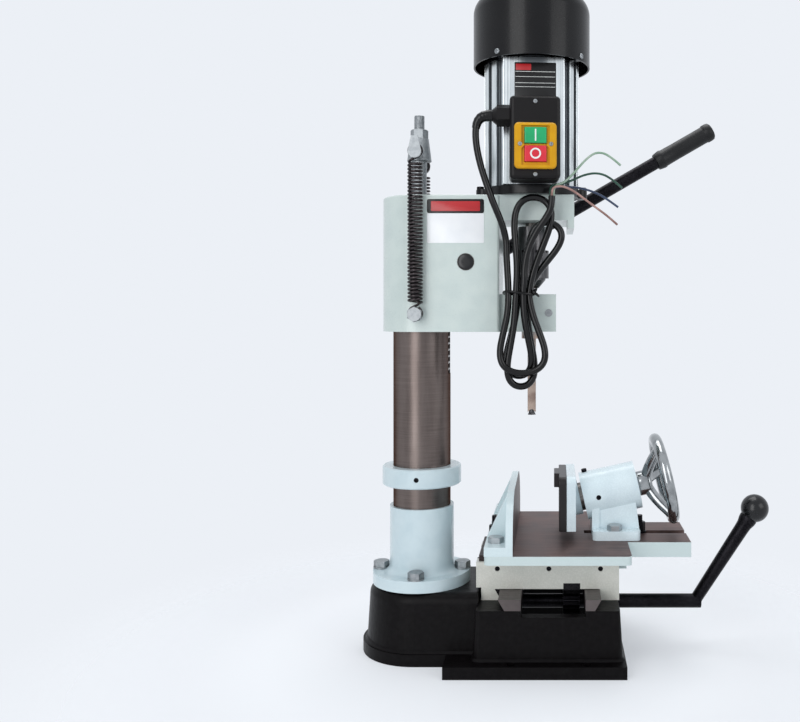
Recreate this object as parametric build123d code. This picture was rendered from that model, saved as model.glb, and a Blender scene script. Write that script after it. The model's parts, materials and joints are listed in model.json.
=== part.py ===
from build123d import *
from math import atan, cos, pi, radians, sin, sqrt, tan
import os

# A hollow chisel mortiser, in millimetres: +Z up, +X to the machine's front, origin on the column's
# axis in the plane of the bench. The near side, with the switch, is -Y.

# Room between pieces
fit_gap = 0.03            # around a piece that is fixed in its seat
run_gap = 0.05            # around a piece that slides or turns in its seat
free_gap = 0.6            # around a piece that passes through without touching

# Base casting
foot_height = 14
foot_radius = 71
plinth_back = 38
plinth_front = 245
plinth_half_width = 107
drum_radius = 66          # where the wall meets the foot
drum_front = 78
drum_top = 81
drum_edge_radius = 12
box_back = 70
box_front = 242
box_half_width = 90
box_top = 70
box_corner_radius = 8
casting_draft = 3.5       # degrees
foot_flare = 2.5          # of the walls, where they meet the foot
flare_draft = 45          # degrees
base_wall = 12
bench_bolt_radius = 5
bench_bolt_inset = 8      # from the plinth's long edges
bench_bolt_back = 114
bench_bolt_front = 200

# Saddle ways, on top of the base
dovetail_angle = 60       # degrees
way_rise = 12.6
way_back = 99
way_front = 217
channel_back = 125
channel_front = 199
channel_depth = 7         # below the top of the box

# Column, socket and stop collar
column_radius = 35
column_wall = 10
column_length = 467       # above the drum
socket_flange_radius = 59.5
socket_flange_height = 14
socket_radius = 39
socket_height = 93
socket_fillet = 8
socket_bolt_circle = 50
socket_bolt_radius = 5
socket_bolt_flats = 17
socket_bolt_head = 7
socket_bolt_count = 4
washer_radius = 10
washer_height = 2
collar_radius = 48
collar_rise = 26          # above the socket
collar_height = 23
collar_chamfer = 1.5
collar_screw_radius = 3
hex_crown = 30            # degrees, of the turned-off corners of hex heads and nuts

# Gear teeth
gear_module = 2.5
pressure_angle = 20       # degrees
tooth_backlash = 0.3      # along the pitch line
root_depth = 1.25         # modules below the pitch line

# Head casting, at rest on the column
head_rise = 306           # above the drum
head_height = 163
head_half_width = 47
head_front = 98
head_edge_radius = 3
upper_arm_front = 187
upper_arm_height = 30.5
upper_arm_half_width = 44
arm_lip_length = 8
arm_lip_drop = 9.5
lower_arm_front = 165.5
lower_arm_height = 45
lower_arm_half_width = 34
pinch_slit = 3
pinch_bolt_radius = 3
pinch_head_radius = 4.5
pinch_head_length = 6
pinch_socket_depth = 3
pinch_reach = 21          # from the spindle's axis

# Feed rack and pinion
feed_rack_width = 20
feed_rack_back = 24
feed_rack_length = 165
feed_rack_drop = 48       # below the column's top
feed_pitch_plane = 31
feed_pinion_teeth = 22
feed_pinion_face = 16
feed_pinion_rise = 83     # above the head's bottom
feed_shaft_radius = 10
feed_bush_radius = 13
feed_bush_length = 16
feed_chamber_gap = 2

# Feed lever, beyond the far side of the head
lever_plane = 80
lever_angle = 30          # degrees above level
lever_length = 362
lever_radius = 8.5
grip_radius = 11
grip_length = 85
lever_hub_radius = 24
lever_hub_length = 30

# Return springs and what holds them
stud_reach = -3.3         # from the column's axis
spring_swing = 3.6        # of each spring beside the stud
spring_plane = 57
spring_radius = 9.25
spring_wire = 3
coil_foot = 12            # above the anchor bolt
coil_drop = 14            # below the hook's pin
anchor_rise = 21          # above the head's bottom
anchor_radius = 5
anchor_flats = 16
anchor_head = 6
anchor_shoulder = 8
anchor_seat_depth = 10
stud_radius = 6
stud_shoulder_radius = 9
stud_proud = 17.5         # above its nut
plug_length = 24
holder_rise = 48.5        # above the column's top
holder_height = 27.5
holder_top_radius = 11.5
holder_foot_radius = 15
hook_rise = 5.5           # of the pins above the holder's foot
hook_arm_radius = 5.5
hook_neck_radius = 4
lug_radius = 7.8
lug_drop = 3.6            # of its round end's middle, below the pin
lug_height = 18           # above that middle
lug_top_width = 8.2
lug_thickness = 4
stud_nut_flats = 19
stud_nut_height = 11

# Motor
spindle_reach = 135.5
motor_turn = 4            # degrees about the spindle
end_shield_height = 11
end_shield_ear_reach = 59
end_shield_ear_width = 19
housing_radius = 58
housing_wall = 8
housing_height = 150
housing_flat = 54         # from the axis to the pad under the switch box
housing_pad_width = 72
flute_count = 20
flute_depth = 5
flute_width = 9
top_shield_height = 9
cover_radius = 71.5
cover_wall = 2
cover_height = 88
cover_lap = 1             # over the housing
cover_edge_radius = 24
cover_lug_width = 8
cover_lug_count = 4
cover_lug_turn = 53       # degrees
cover_vent_count = 12
cover_vent_width = 4
cover_vent_start = 16     # from the axis
bearing_radius = 20
bearing_height = 9
shaft_radius = 8
stator_bore_radius = 31
stator_height = 80
rotor_gap = 0.5
fan_radius = 60
fan_height = 24
fan_hub_radius = 14
fan_blade_count = 7
fan_blade = 2.5

# Switch box on the motor's flat
switch_width = 58
switch_height = 95
switch_depth = 36
switch_rise = 1           # above the lower end shield
switch_wall = 3
switch_edge_radius = 5
bezel_width = 48
bezel_height = 52
bezel_thickness = 6
bezel_chamfer = 1.5
bezel_rise = 37           # of its middle above the switch box's bottom
well_depth = 3
well_half_width = 16
well_half_height = 22.5
well_notch = 3.5          # at mid-height, where the bezel's screws are
button_width = 25
button_height = 18.2
button_spacing = 20.8
button_lift = 1.2         # of the pair above the bezel's middle
button_depth = 9
button_proud = 0.5
button_lip = 1
button_edge_radius = 1.2
gland_rise = 74           # of its middle above the switch box's bottom
gland_flats = 22
gland_nut_length = 14.5
gland_length = 20
gland_mouth_radius = 6.5
cord_radius = 4

# Chuck, auger and hollow chisel
chuck_drop = 35           # below the head's top
chuck_length = 75
chuck_seat_depth = 20
chuck_body_radius = 17
chuck_sleeve_radius = 21
chuck_sleeve_rise = 12    # above the chuck's lower end
chuck_sleeve_height = 34
chuck_key_teeth = 24
chuck_key_tooth = 3
jaw_cone_height = 10
auger_radius = 3.6
auger_proud = 3           # below the chisel's points
chisel_length = 100       # below the head
chisel_side = 10
chisel_bore_radius = 4
chisel_shank_radius = 9.5
chisel_shoulder_height = 9
chisel_window_length = 60
chisel_window_rise = 28   # above the chisel's points
chisel_window_width = 4
chisel_bush_radius = 12.5

# Saddle
saddle_back = 71
saddle_front = 240
saddle_half_width = 48
saddle_leg_height = 15
saddle_height = 45        # with its legs
saddle_leg_back = 77
gib_thickness = 5
gib_screw_radius = 3
gib_screw_drop = 8        # below the saddle's top
gib_screw_places = (96, 157, 218)

# Table drive under the saddle
table_pinion_teeth = 20
table_pinion_back = 174
table_pinion_face = 20
table_rack_depth = 11     # from the pitch line to its back
table_shaft_drop = 16     # below the top of the base's box
table_shaft_radius = 8.5
table_shaft_chamfer = 0.5
table_shaft_back = 76
table_shaft_front = 344
table_rod_foot = 337
table_rod_tilt = 33       # degrees from upright
table_rod_length = 136
table_rod_radius = 6
knob_radius = 17
knob_seat_depth = 14

# Table
table_back = 85
table_step = 250
table_front = 325
table_half_width = 112
table_thickness = 10
slide_height = 14         # from the saddle to the table's plate
slide_half_width = 44
tongue_length = 11        # of the slide's foot behind the plate
tongue_height = 7
tail_half_width = 26
tail_depth = 12
extension_half_width = 50
extension_thickness = 17.5
t_slot_width = 14
t_slot_depth = 8
t_slot_foot_width = 22
t_slot_foot_depth = 6
t_slot_back = 200
table_corner_radius = 6

# Fence
fence_face = 117
fence_thickness = 8
fence_height = 64
fence_corner_radius = 56
fence_foot_height = 10
gusset_thickness = 10
gusset_height = 60
gusset_place = 62         # from the middle of the fence
fence_bolt_place = 88
table_bolt_radius = 5
table_bolt_flats = 16
table_bolt_head = 6.5
table_bolt_grip = 8       # thread in the table

# Clamp
clamp_tilt = 12.5         # degrees above level
clamp_nose = 265.7        # the barrel's front end, on its axis
clamp_nose_rise = 59      # above the table
barrel_radius = 29
barrel_length = 68
barrel_end_wall = 10
ram_radius = 17
ram_end_gap = 1           # between the ram and the screw's collar
clamp_foot_back = 209
clamp_foot_front = 266
clamp_foot_half_width = 44
clamp_foot_height = 10.5
clamp_web_thickness = 9
clamp_web_half_width = 26
clamp_wall_place = 20     # of the two walls beside the middle
clamp_wall_thickness = 8
clamp_wall_setback = 4    # from the barrel's front end
clamp_key_hole_radius = 3
clamp_key_reach = -50     # from the barrel's nose
keyway_depth = 4
clamp_bolt_reach = 235.6
clamp_bolt_place = 34
t_bolt_reach = 268.3
t_bolt_radius = 4
t_bolt_rise = 21          # above the table
t_nut_flats = 13
t_nut_height = 11
t_washer_radius = 8.5
t_washer_height = 2
screw_radius = 8
screw_collar_radius = 12
screw_collar_length = 5
screw_tip = -72           # from the barrel's nose
wheel_radius = 49         # to the middle of the rim
rim_radius = 7
wheel_hub_radius = 15
wheel_hub_length = 18
wheel_dish = 33.8         # from the barrel's nose to the rim's plane
spoke_count = 3
spoke_radius = 5.5
jaw_back = 178
jaw_thickness = 11
jaw_half_width = 50
jaw_lift = 12             # above the table
jaw_height = 64.5
jaw_corner_radius = 8
jaw_boss_radius = 21
jaw_boss_gap = 4.3        # before the barrel's rear end
facing_thickness = 9
facing_height = 63.5
hook_length = 6
hook_lift = 46.5          # above the jaw's lower edge
hook_height = 17
hook_width = 37

# Supply cord: the lead from the gland to the tied hank, and the tail from the hank to its bare cores
lead_route = [(91.92, -79.23, 636), (83, -79.85, 636), (75.8, -80.3, 630.5), (72.9, -80.3, 620),
              (73.6, -79.8, 603), (78, -78.4, 581), (85.3, -76, 558), (93.5, -72.6, 535), (102.5, -67.5, 514),
              (107.5, -62, 494), (107.5, -62, 476)]
tail_route = [(128.5, -71, 446), (128.5, -71, 460), (130.8, -71, 476), (136, -71, 491.5), (144, -71, 506),
              (153, -71, 518.5), (160.5, -71, 531.5), (160.5, -71, 545)]
core_radius = 1.3
core_routes = {
    "core_pale": [(162.4, -71, 545), (162.4, -71, 552.5), (166, -72, 558), (174, -71.5, 560),
                  (183, -70.4, 568), (192, -69.6, 578.5), (201, -69.6, 588.5), (212, -70, 596),
                  (226, -71, 593), (240, -71.5, 580)],
    "core_green": [(158.6, -71, 545), (158.6, -71, 554.3), (162.5, -68.5, 558.6), (172, -65, 559),
                   (185, -62.8, 564.5), (199, -62, 571), (214, -63, 573), (228.5, -64, 567.5),
                   (242, -65, 555)],
    "core_blue": [(160.5, -69.1, 545), (160.5, -69.1, 552.5), (165.2, -65, 556.3), (175.5, -61, 557),
                  (190, -58.8, 556.5), (205, -58, 553), (221, -59, 546), (238, -60, 533)],
    "core_brown": [(160.5, -72.9, 545), (160.5, -72.9, 552), (164.5, -75.2, 555.5), (174, -75.8, 555.5),
                   (186, -75.4, 550), (198.5, -75, 540.5), (212, -75, 530.5), (225, -75.4, 521),
                   (236, -76, 511)],
}
run_share = 0.45          # of the shorter run beside a corner, taken up by the corner's arc
hank_rear = -48
hank_front = -75          # of its lower loop
hank_upper_front = -66.5
hank_left = 95
hank_right = 158
hank_bottom = 321
hank_belly = 352          # height of its widest place
hank_waist = 433
hank_waist_left = 105
hank_waist_right = 141
arch_left = 113
arch_right = 166
arch_shoulder = 530
arch_top = 549
side_loop_reach = 176
side_loop_low = 496
side_loop_high = 515

# Sizes that follow from the ones above
from_end = (Align.CENTER, Align.CENTER, Align.MIN)
tooth_pitch = pi * gear_module
drum_inset = (drum_top - foot_height) * tan(radians(casting_draft))
box_inset = (box_top - foot_height) * tan(radians(casting_draft))
way_half_length = box_half_width - box_inset
way_top = box_top + way_rise
way_lean = way_rise / tan(radians(dovetail_angle))
bulkhead_front = drum_front + base_wall
gib_span = gib_thickness / sin(radians(dovetail_angle)) + 2 * run_gap
column_top = drum_top + column_length
column_bore = column_radius - column_wall
socket_top = drum_top + socket_height
socket_flange_top = drum_top + socket_flange_height
collar_bottom = socket_top + collar_rise
head_bottom = drum_top + head_rise
head_top = head_bottom + head_height
upper_arm_bottom = head_top - upper_arm_height
lower_arm_top = head_bottom + lower_arm_height
pinch_height = head_bottom + lower_arm_height / 2
feed_rack_top = column_top - feed_rack_drop
feed_rack_bottom = feed_rack_top - feed_rack_length
feed_pinion_height = head_bottom + feed_pinion_rise
feed_pinion_pitch = gear_module * feed_pinion_teeth / 2
feed_axis = feed_pitch_plane + feed_pinion_pitch
feed_chamber_half_width = (feed_pinion_face + feed_chamber_gap) / 2
feed_bush_spans = ((-feed_chamber_half_width - feed_bush_length, -feed_chamber_half_width),
                   (head_half_width - feed_bush_length, head_half_width))
lever_way = Vector(cos(radians(lever_angle)), 0, sin(radians(lever_angle)))
holder_bottom = column_top + holder_rise
holder_top = holder_bottom + holder_height
spring_hook_height = holder_bottom + hook_rise
anchor_height = head_bottom + anchor_rise
coil_bottom = anchor_height + coil_foot
coil_top = spring_hook_height - coil_drop
ring_radius = spring_radius - spring_wire / 2
housing_bottom = head_top + end_shield_height
housing_top = housing_bottom + housing_height
stator_bottom = housing_bottom + (housing_height - stator_height) / 2
cover_bottom = housing_top - cover_lap
fan_bottom = housing_top + top_shield_height + bearing_height
motor_place = Pos(spindle_reach, 0, 0) * Rot(0, 0, motor_turn)
switch_bottom = housing_bottom + switch_rise
switch_front = -housing_flat - switch_depth
bezel_middle = switch_bottom + bezel_rise
chuck_top = head_top - chuck_drop
chuck_bottom = chuck_top - chuck_length
shaft_nose = chuck_top - chuck_seat_depth
chuck_sleeve_bottom = chuck_bottom + chuck_sleeve_rise
auger_top = chuck_bottom + 2 * jaw_cone_height
chisel_tip = head_bottom - chisel_length
saddle_bottom = box_top + saddle_leg_height
saddle_top = box_top + saddle_height
gib_screw_height = saddle_top - gib_screw_drop
table_shaft_height = box_top - table_shaft_drop
table_pinion_pitch = gear_module * table_pinion_teeth / 2
table_pitch_plane = table_shaft_height + table_pinion_pitch
table_rack_back = table_pitch_plane + table_rack_depth
tail_bottom = saddle_top - tail_depth
tail_lean = tail_depth / tan(radians(dovetail_angle))
table_bottom = saddle_top + slide_height
table_top_height = table_bottom + table_thickness
t_slot_floor = table_top_height - t_slot_depth
fence_back = fence_face - fence_thickness
fence_bolt_reach = (table_back + fence_back) / 2
fence_bolt_places = [(fence_bolt_reach, -fence_bolt_place), (fence_bolt_reach, fence_bolt_place)]
clamp_bolt_places = [(clamp_bolt_reach, -clamp_bolt_place), (clamp_bolt_reach, clamp_bolt_place)]
table_bolt_places = fence_bolt_places + clamp_bolt_places
clamp_nose_height = table_top_height + clamp_nose_rise
clamp_way = Vector(cos(radians(clamp_tilt)), 0, sin(radians(clamp_tilt)))
clamp_end = Vector(clamp_nose, 0, clamp_nose_height)
clamp_foot_top = table_top_height + clamp_foot_height
key_way = Vector(0, -1, 0)
ram_end = -barrel_end_wall - screw_collar_length - ram_end_gap
jaw_bottom = table_top_height + jaw_lift
jaw_face = jaw_back - facing_thickness
jaw_rear = jaw_back + jaw_thickness


def block(x0, x1, y0, y1, z0, z1):
    """A box between two corners."""
    return Pos((x0 + x1) / 2, (y0 + y1) / 2, (z0 + z1) / 2) * Box(x1 - x0, y1 - y0, z1 - z0)


def rod(radius, start, end):
    """A round bar from one point to another."""
    along = Vector(end) - Vector(start)
    return Plane(origin=start, z_dir=along) * Cylinder(radius, along.length, align=from_end)


def upright(radius, bottom, top, x=0, y=0):
    """A round bar that stands on z = bottom."""
    return rod(radius, (x, y, bottom), (x, y, top))


def hex_bar(flats, start, end):
    """A six-sided bar from one point to another."""
    along = Vector(end) - Vector(start)
    section = Plane(origin=start, z_dir=along) * RegularPolygon(flats / 2, 6, major_radius=False)
    return extrude(section, along.length)


def hex_head(flats, start, end):
    """A six-sided head or nut, with the corners of its outer end turned off."""
    along = Vector(end) - Vector(start)
    corner = flats / sqrt(3)
    crown = (corner - flats / 2) * tan(radians(hex_crown))
    shoulder = Vector(end) - along.normalized() * crown
    turned = rod(corner, start, shoulder)
    turned += Plane(origin=shoulder, z_dir=along) * Cone(corner, flats / 2, crown, align=from_end)
    return hex_bar(flats, start, end) & turned


def hex_bolt(radius, flats, head, seat, tip, way):
    """A bolt with its head on the seat, its way pointing out of the work, and its shank down to the tip."""
    seat = Vector(seat)
    return hex_head(flats, seat, seat + Vector(way) * head) + rod(radius, seat - Vector(way) * tip, seat)


def prism_along_y(outline, y0, y1):
    """A solid whose outline is (x, z) pairs, from y0 to y1."""
    face = make_face(Polyline(*[(x, y0, z) for x, z in outline], close=True))
    return extrude(face, y1 - y0, dir=(0, 1, 0))


def prism_along_x(outline, x0, x1):
    """A solid whose outline is (y, z) pairs, from x0 to x1."""
    face = make_face(Polyline(*[(x0, y, z) for y, z in outline], close=True))
    return extrude(face, x1 - x0, dir=(1, 0, 0))


def d_outline(radius, front):
    """A half-round about the column's axis, with straight sides that run on to the front."""
    return Circle(radius) + Pos(front / 2, 0) * Rectangle(front, 2 * radius)


def on_clamp(reach):
    """The point on the clamp's axis at a reach from the barrel's nose."""
    return clamp_end + clamp_way * reach


def spur_gear(teeth, face_width):
    """A spur gear about Z on z = 0, with a tooth on +X and an arc along each involute flank."""
    pitch = gear_module * teeth / 2
    base = pitch * cos(radians(pressure_angle))
    tip = pitch + gear_module
    root = pitch - root_depth * gear_module

    def involute(radius):
        return sqrt((radius / base) ** 2 - 1) - atan(sqrt((radius / base) ** 2 - 1))

    def flank(radius):
        half_tooth = (tooth_pitch - 2 * tooth_backlash) / (4 * pitch)
        return half_tooth + involute(pitch) - involute(max(radius, base))

    def point(radius, angle):
        return (radius * cos(angle), radius * sin(angle))

    edges = []
    step = 2 * pi / teeth
    for tooth in range(teeth):
        middle = tooth * step
        for side in (-1, 1):
            foot = point(root, middle + side * flank(base))
            start = point(base, middle + side * flank(base))
            halfway = point(pitch, middle + side * flank(pitch))
            end = point(tip, middle + side * flank(tip))
            edges += [Line(foot, start), ThreePointArc(start, halfway, end)]
        edges.append(Line(point(tip, middle - flank(tip)), point(tip, middle + flank(tip))))
        edges.append(Line(point(root, middle + flank(base)), point(root, middle + step - flank(base))))
    return extrude(make_face(edges), face_width)


def rack_outline(start, end, gap_place, back):
    """(along, height) pairs of a rack about its pitch line, with a gap at gap_place and at both ends."""
    slope = tan(radians(pressure_angle))
    mouth = tooth_pitch / 4 + gear_module * slope
    floor = tooth_pitch / 4 - root_depth * gear_module * slope
    depth = -root_depth * gear_module
    place = gap_place - tooth_pitch * int((gap_place + floor - start) / tooth_pitch)
    outline = [(start, back), (start, depth)]
    while place + tooth_pitch - floor < end:
        outline += [(place + floor, depth), (place + mouth, gear_module)]
        place += tooth_pitch
        outline += [(place - mouth, gear_module), (place - floor, depth)]
    return outline + [(end, depth), (end, back)]


def base_casting():
    """The black casting: a drum under the column and a box under the table, both hollow from below."""
    plinth_length = plinth_front - plinth_back
    plinth = Pos(plinth_back + plinth_length / 2, 0) * Rectangle(plinth_length, 2 * plinth_half_width)
    foot = extrude(d_outline(foot_radius, plinth_back) + plinth, foot_height)
    lift = Pos(0, 0, foot_height)
    drum = lift * extrude(d_outline(drum_radius, drum_front), drum_top - foot_height, taper=casting_draft)
    rim_front = drum_front - drum_inset - fit_gap
    rim = [edge for edge in drum.faces().sort_by(Axis.Z)[-1].edges() if edge.center().X < rim_front]
    drum = fillet(rim, drum_edge_radius)
    drum += lift * extrude(d_outline(drum_radius + foot_flare, drum_front), foot_flare, taper=flare_draft)
    box = lift * extrude(box_plan(0), box_top - foot_height, taper=casting_draft)
    box += lift * extrude(box_plan(foot_flare), foot_flare, taper=flare_draft)
    ways = prism_along_y([(way_back + way_lean, box_top), (way_back, way_top), (way_front, way_top),
                          (way_front - way_lean, box_top)], -way_half_length, way_half_length)
    casting = foot + drum + box + ways
    # The hollow underneath, with a stiffening rib under the column and a bulkhead between drum and box
    drum_bore = d_outline(drum_radius - drum_inset - base_wall, drum_front - base_wall)
    drum_hollow = extrude(drum_bore, drum_top - base_wall)
    rib = block(-drum_radius, drum_front, -base_wall / 2, base_wall / 2, 0, drum_top)
    hollow_front = box_front - box_inset - base_wall
    hollow_half_width = way_half_length - base_wall
    box_hollow = block(bulkhead_front, hollow_front, -hollow_half_width, hollow_half_width,
                       0, box_top - base_wall)
    casting = casting - (drum_hollow - rib) - box_hollow
    # The channel between the ways, which the saddle's rack runs in
    casting -= block(channel_back, channel_front, -hollow_half_width, hollow_half_width, 0, way_top)
    casting -= block(channel_back, channel_front, -box_half_width, box_half_width,
                     box_top - channel_depth, way_top)
    # The bearings of the table's shaft
    casting += rod(table_shaft_radius + base_wall / 2, (hollow_front - base_wall, 0, table_shaft_height),
                   (hollow_front, 0, table_shaft_height))
    casting -= rod(table_shaft_radius + run_gap, (table_shaft_back - free_gap, 0, table_shaft_height),
                   (table_shaft_front, 0, table_shaft_height))
    for turn in range(socket_bolt_count):
        x, y = socket_bolt_place(turn)
        casting -= upright(socket_bolt_radius + fit_gap, drum_top - base_wall - foot_height, drum_top, x, y)
    bench_row = plinth_half_width - bench_bolt_inset
    for x in (bench_bolt_back, bench_bolt_front):
        for y in (-bench_row, bench_row):
            casting -= upright(bench_bolt_radius, 0, foot_height, x, y)
    return casting


def box_plan(spread):
    """The plan of the box under the table, spread by that much all round."""
    length = box_front - box_back + 2 * spread
    width = 2 * (box_half_width + spread)
    return Pos((box_back + box_front) / 2, 0) * RectangleRounded(length, width, box_corner_radius + spread)


def socket_bolt_place(turn):
    """The place of one of the bolts round the socket."""
    angle = 2 * pi * turn / socket_bolt_count
    return (socket_bolt_circle * cos(angle), socket_bolt_circle * sin(angle))


def column_socket():
    """The flanged sleeve that holds the column."""
    sleeve = upright(socket_radius, drum_top, socket_top)
    socket = upright(socket_flange_radius, drum_top, socket_flange_top) + sleeve
    rings = [edge for edge in socket.edges().filter_by(GeomType.CIRCLE)
             if abs(edge.radius - socket_radius) < fit_gap]
    corner = [ring for ring in rings if abs(ring.center().Z - socket_flange_top) < fit_gap]
    socket = fillet(corner, socket_fillet)
    socket -= upright(column_radius + fit_gap, drum_top, socket_top)
    for turn in range(socket_bolt_count):
        x, y = socket_bolt_place(turn)
        socket -= upright(socket_bolt_radius + free_gap, drum_top, socket_flange_top, x, y)
        socket -= upright(washer_radius + free_gap / 2, socket_flange_top, socket_top, x, y)
    return socket


def socket_bolts():
    """Four hex bolts, each on its washer."""
    pieces = []
    for turn in range(socket_bolt_count):
        x, y = socket_bolt_place(turn)
        seat = socket_flange_top + washer_height
        washer = upright(washer_radius, socket_flange_top, seat, x, y)
        pieces.append(washer - upright(socket_bolt_radius + fit_gap, socket_flange_top, seat, x, y))
        grip = washer_height + socket_flange_height + base_wall
        pieces.append(hex_bolt(socket_bolt_radius, socket_bolt_flats, socket_bolt_head, (x, y, seat), grip,
                               (0, 0, 1)))
    return pieces


def column_tube():
    """The ground tube, with a slot that the feed rack is let into."""
    tube = upright(column_radius, drum_top, column_top) - upright(column_bore, drum_top, column_top)
    half_width = feed_rack_width / 2
    return tube - block(0, column_radius, -half_width, half_width, feed_rack_bottom, feed_rack_top)


def column_rack():
    """The feed rack, its teeth to the front."""
    outline = rack_outline(feed_rack_bottom + fit_gap, feed_rack_top - fit_gap, feed_pinion_height,
                           feed_rack_back - feed_pitch_plane)
    half_width = feed_rack_width / 2 - fit_gap
    return prism_along_y([(feed_pitch_plane + height, along) for along, height in outline],
                         -half_width, half_width)


def stop_collar():
    """The ring that limits the head's travel, with a hole for its grub screw on the near side."""
    top = collar_bottom + collar_height
    ring = upright(collar_radius, collar_bottom, top)
    ring = chamfer(ring.edges().filter_by(GeomType.CIRCLE), collar_chamfer)
    ring -= upright(column_radius + run_gap, collar_bottom, top)
    middle = collar_bottom + collar_height / 2
    return ring - rod(collar_screw_radius, (0, -collar_radius, middle), (0, 0, middle))


def spring_stud():
    """The plug in the column's top, with a shouldered stud."""
    plug = upright(column_bore - fit_gap, column_top - plug_length, column_top)
    shoulder = upright(stud_shoulder_radius, column_top, holder_bottom, stud_reach)
    stud_top = holder_top + stud_nut_height + stud_proud
    return plug + shoulder + upright(stud_radius, holder_bottom, stud_top, stud_reach)


def spring_x(side):
    """How far to the front the near (-1) or far (1) spring hangs."""
    return stud_reach - side * spring_swing


def spring_crossbar():
    """The boss on the stud, with an arm to each side that ends in a necked pin and a pear-shaped lug."""
    boss = Cone(holder_foot_radius, holder_top_radius, holder_height, align=from_end)
    bar = Pos(stud_reach, 0, holder_bottom) * boss
    lug_middle = spring_hook_height - lug_drop
    lug_start = spring_plane + spring_wire
    for side in (-1, 1):
        x = spring_x(side)
        neck_start = (x, side * (spring_plane - spring_wire), spring_hook_height)
        neck_end = (x, side * lug_start, spring_hook_height)
        bar += rod(hook_arm_radius, (stud_reach, 0, spring_hook_height), neck_start)
        bar += rod(hook_neck_radius, neck_start, neck_end)
        lug_faces = sorted((side * lug_start, side * (lug_start + lug_thickness)))
        bar += rod(lug_radius, (x, lug_faces[0], lug_middle), (x, lug_faces[1], lug_middle))
        bar += prism_along_y([(x - lug_radius, lug_middle), (x + lug_radius, lug_middle),
                              (x + lug_top_width / 2, lug_middle + lug_height),
                              (x - lug_top_width / 2, lug_middle + lug_height)], *lug_faces)
    return bar - upright(stud_radius + fit_gap, holder_bottom, holder_top, stud_reach)


def stud_nut():
    """The nut that holds the crossbar down."""
    top = holder_top + stud_nut_height
    nut = hex_head(stud_nut_flats, (stud_reach, 0, holder_top), (stud_reach, 0, top))
    return nut - upright(stud_radius + fit_gap, holder_top, top, stud_reach)


def return_spring(side):
    """The near (-1) or far (1) tension spring, as a plain tube with a ring at each end."""
    x, y = spring_x(side), side * spring_plane
    wire = spring_wire / 2
    coil = upright(spring_radius, coil_bottom, coil_top, x, y)
    coil -= upright(spring_radius - spring_wire, coil_bottom + spring_wire, coil_top - spring_wire, x, y)
    for pin_height, pin_radius, coil_end, way in ((anchor_height, anchor_radius, coil_bottom, 1),
                                                  (spring_hook_height, hook_neck_radius, coil_top, -1)):
        middle = pin_height + way * (ring_radius - wire - pin_radius - run_gap)
        coil += Pos(x, y, middle) * Rot(90, 0, 0) * Torus(ring_radius, wire)
        coil += rod(wire, (x, y, coil_end), (x, y, middle + way * ring_radius))
    return coil


def head_casting():
    """The sliding head: a half-round body, with an arm for the motor and an arm for the chisel."""
    body = Pos(0, 0, head_bottom) * extrude(d_outline(head_half_width, head_front), head_top - head_bottom)
    body = fillet(body.edges().filter_by(Axis.Z).group_by(Axis.X)[-1], head_edge_radius)
    body = fillet(body.faces().sort_by(Axis.Z)[-1].edges(), head_edge_radius)
    arm_back = head_front - 2 * head_edge_radius
    lip_back = upper_arm_front - arm_lip_length
    upper_arm = block(arm_back, upper_arm_front, -upper_arm_half_width, upper_arm_half_width,
                      upper_arm_bottom, head_top)
    lip = block(lip_back, upper_arm_front, -upper_arm_half_width, upper_arm_half_width,
                upper_arm_bottom - arm_lip_drop, upper_arm_bottom)
    lower_arm = block(arm_back, lower_arm_front, -lower_arm_half_width, lower_arm_half_width,
                      head_bottom, lower_arm_top)
    head = body + upper_arm + lip + lower_arm
    head -= upright(column_radius + run_gap, head_bottom, head_top)
    # The pinion's chamber, which opens into the column's bore, and the bores of its shaft and bushes
    chamber_radius = feed_pinion_pitch + gear_module + feed_chamber_gap
    head -= along_feed_axis(chamber_radius, -feed_chamber_half_width, feed_chamber_half_width)
    head -= along_feed_axis(feed_shaft_radius + free_gap / 2, -head_half_width, head_half_width)
    for start, end in feed_bush_spans:
        head -= along_feed_axis(feed_bush_radius, start, end)
    # The spindle's hole through the upper arm, and the split seat of the chisel in the lower arm
    head -= upright(bearing_radius - bearing_height, upper_arm_bottom, head_top, spindle_reach)
    head -= upright(chisel_bush_radius + fit_gap, head_bottom, lower_arm_top, spindle_reach)
    head -= block(spindle_reach, lower_arm_front, -pinch_slit / 2, pinch_slit / 2, head_bottom, lower_arm_top)
    head -= along_pinch_bolt(pinch_bolt_radius + fit_gap, -lower_arm_half_width, lower_arm_half_width)
    head -= along_pinch_bolt(pinch_head_radius + free_gap / 2, -lower_arm_half_width,
                             pinch_head_length - lower_arm_half_width)
    for side in (-1, 1):
        x = spring_x(side)
        head -= rod(anchor_radius + fit_gap, (x, side * (head_half_width - anchor_seat_depth), anchor_height),
                    (x, side * head_half_width, anchor_height))
    return head


def along_feed_axis(radius, start, end):
    """A round bar on the feed pinion's axis."""
    return rod(radius, (feed_axis, start, feed_pinion_height), (feed_axis, end, feed_pinion_height))


def along_pinch_bolt(radius, start, end):
    """A round bar on the pinch bolt's axis."""
    x = spindle_reach + pinch_reach
    return rod(radius, (x, start, pinch_height), (x, end, pinch_height))


def spring_anchor_bolts():
    """A shouldered bolt on each side of the head, for the springs' lower rings."""
    bolts = []
    for side in (-1, 1):
        x = spring_x(side)
        shoulder_end = (x, side * (spring_plane - spring_wire), anchor_height)
        seat = (x, side * (spring_plane + spring_wire), anchor_height)
        tip = spring_plane + spring_wire - head_half_width + anchor_seat_depth
        bolt = hex_bolt(anchor_radius, anchor_flats, anchor_head, seat, tip, (0, side, 0))
        bolts.append(bolt + rod(anchor_shoulder, (x, side * head_half_width, anchor_height), shoulder_end))
    return bolts


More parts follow.
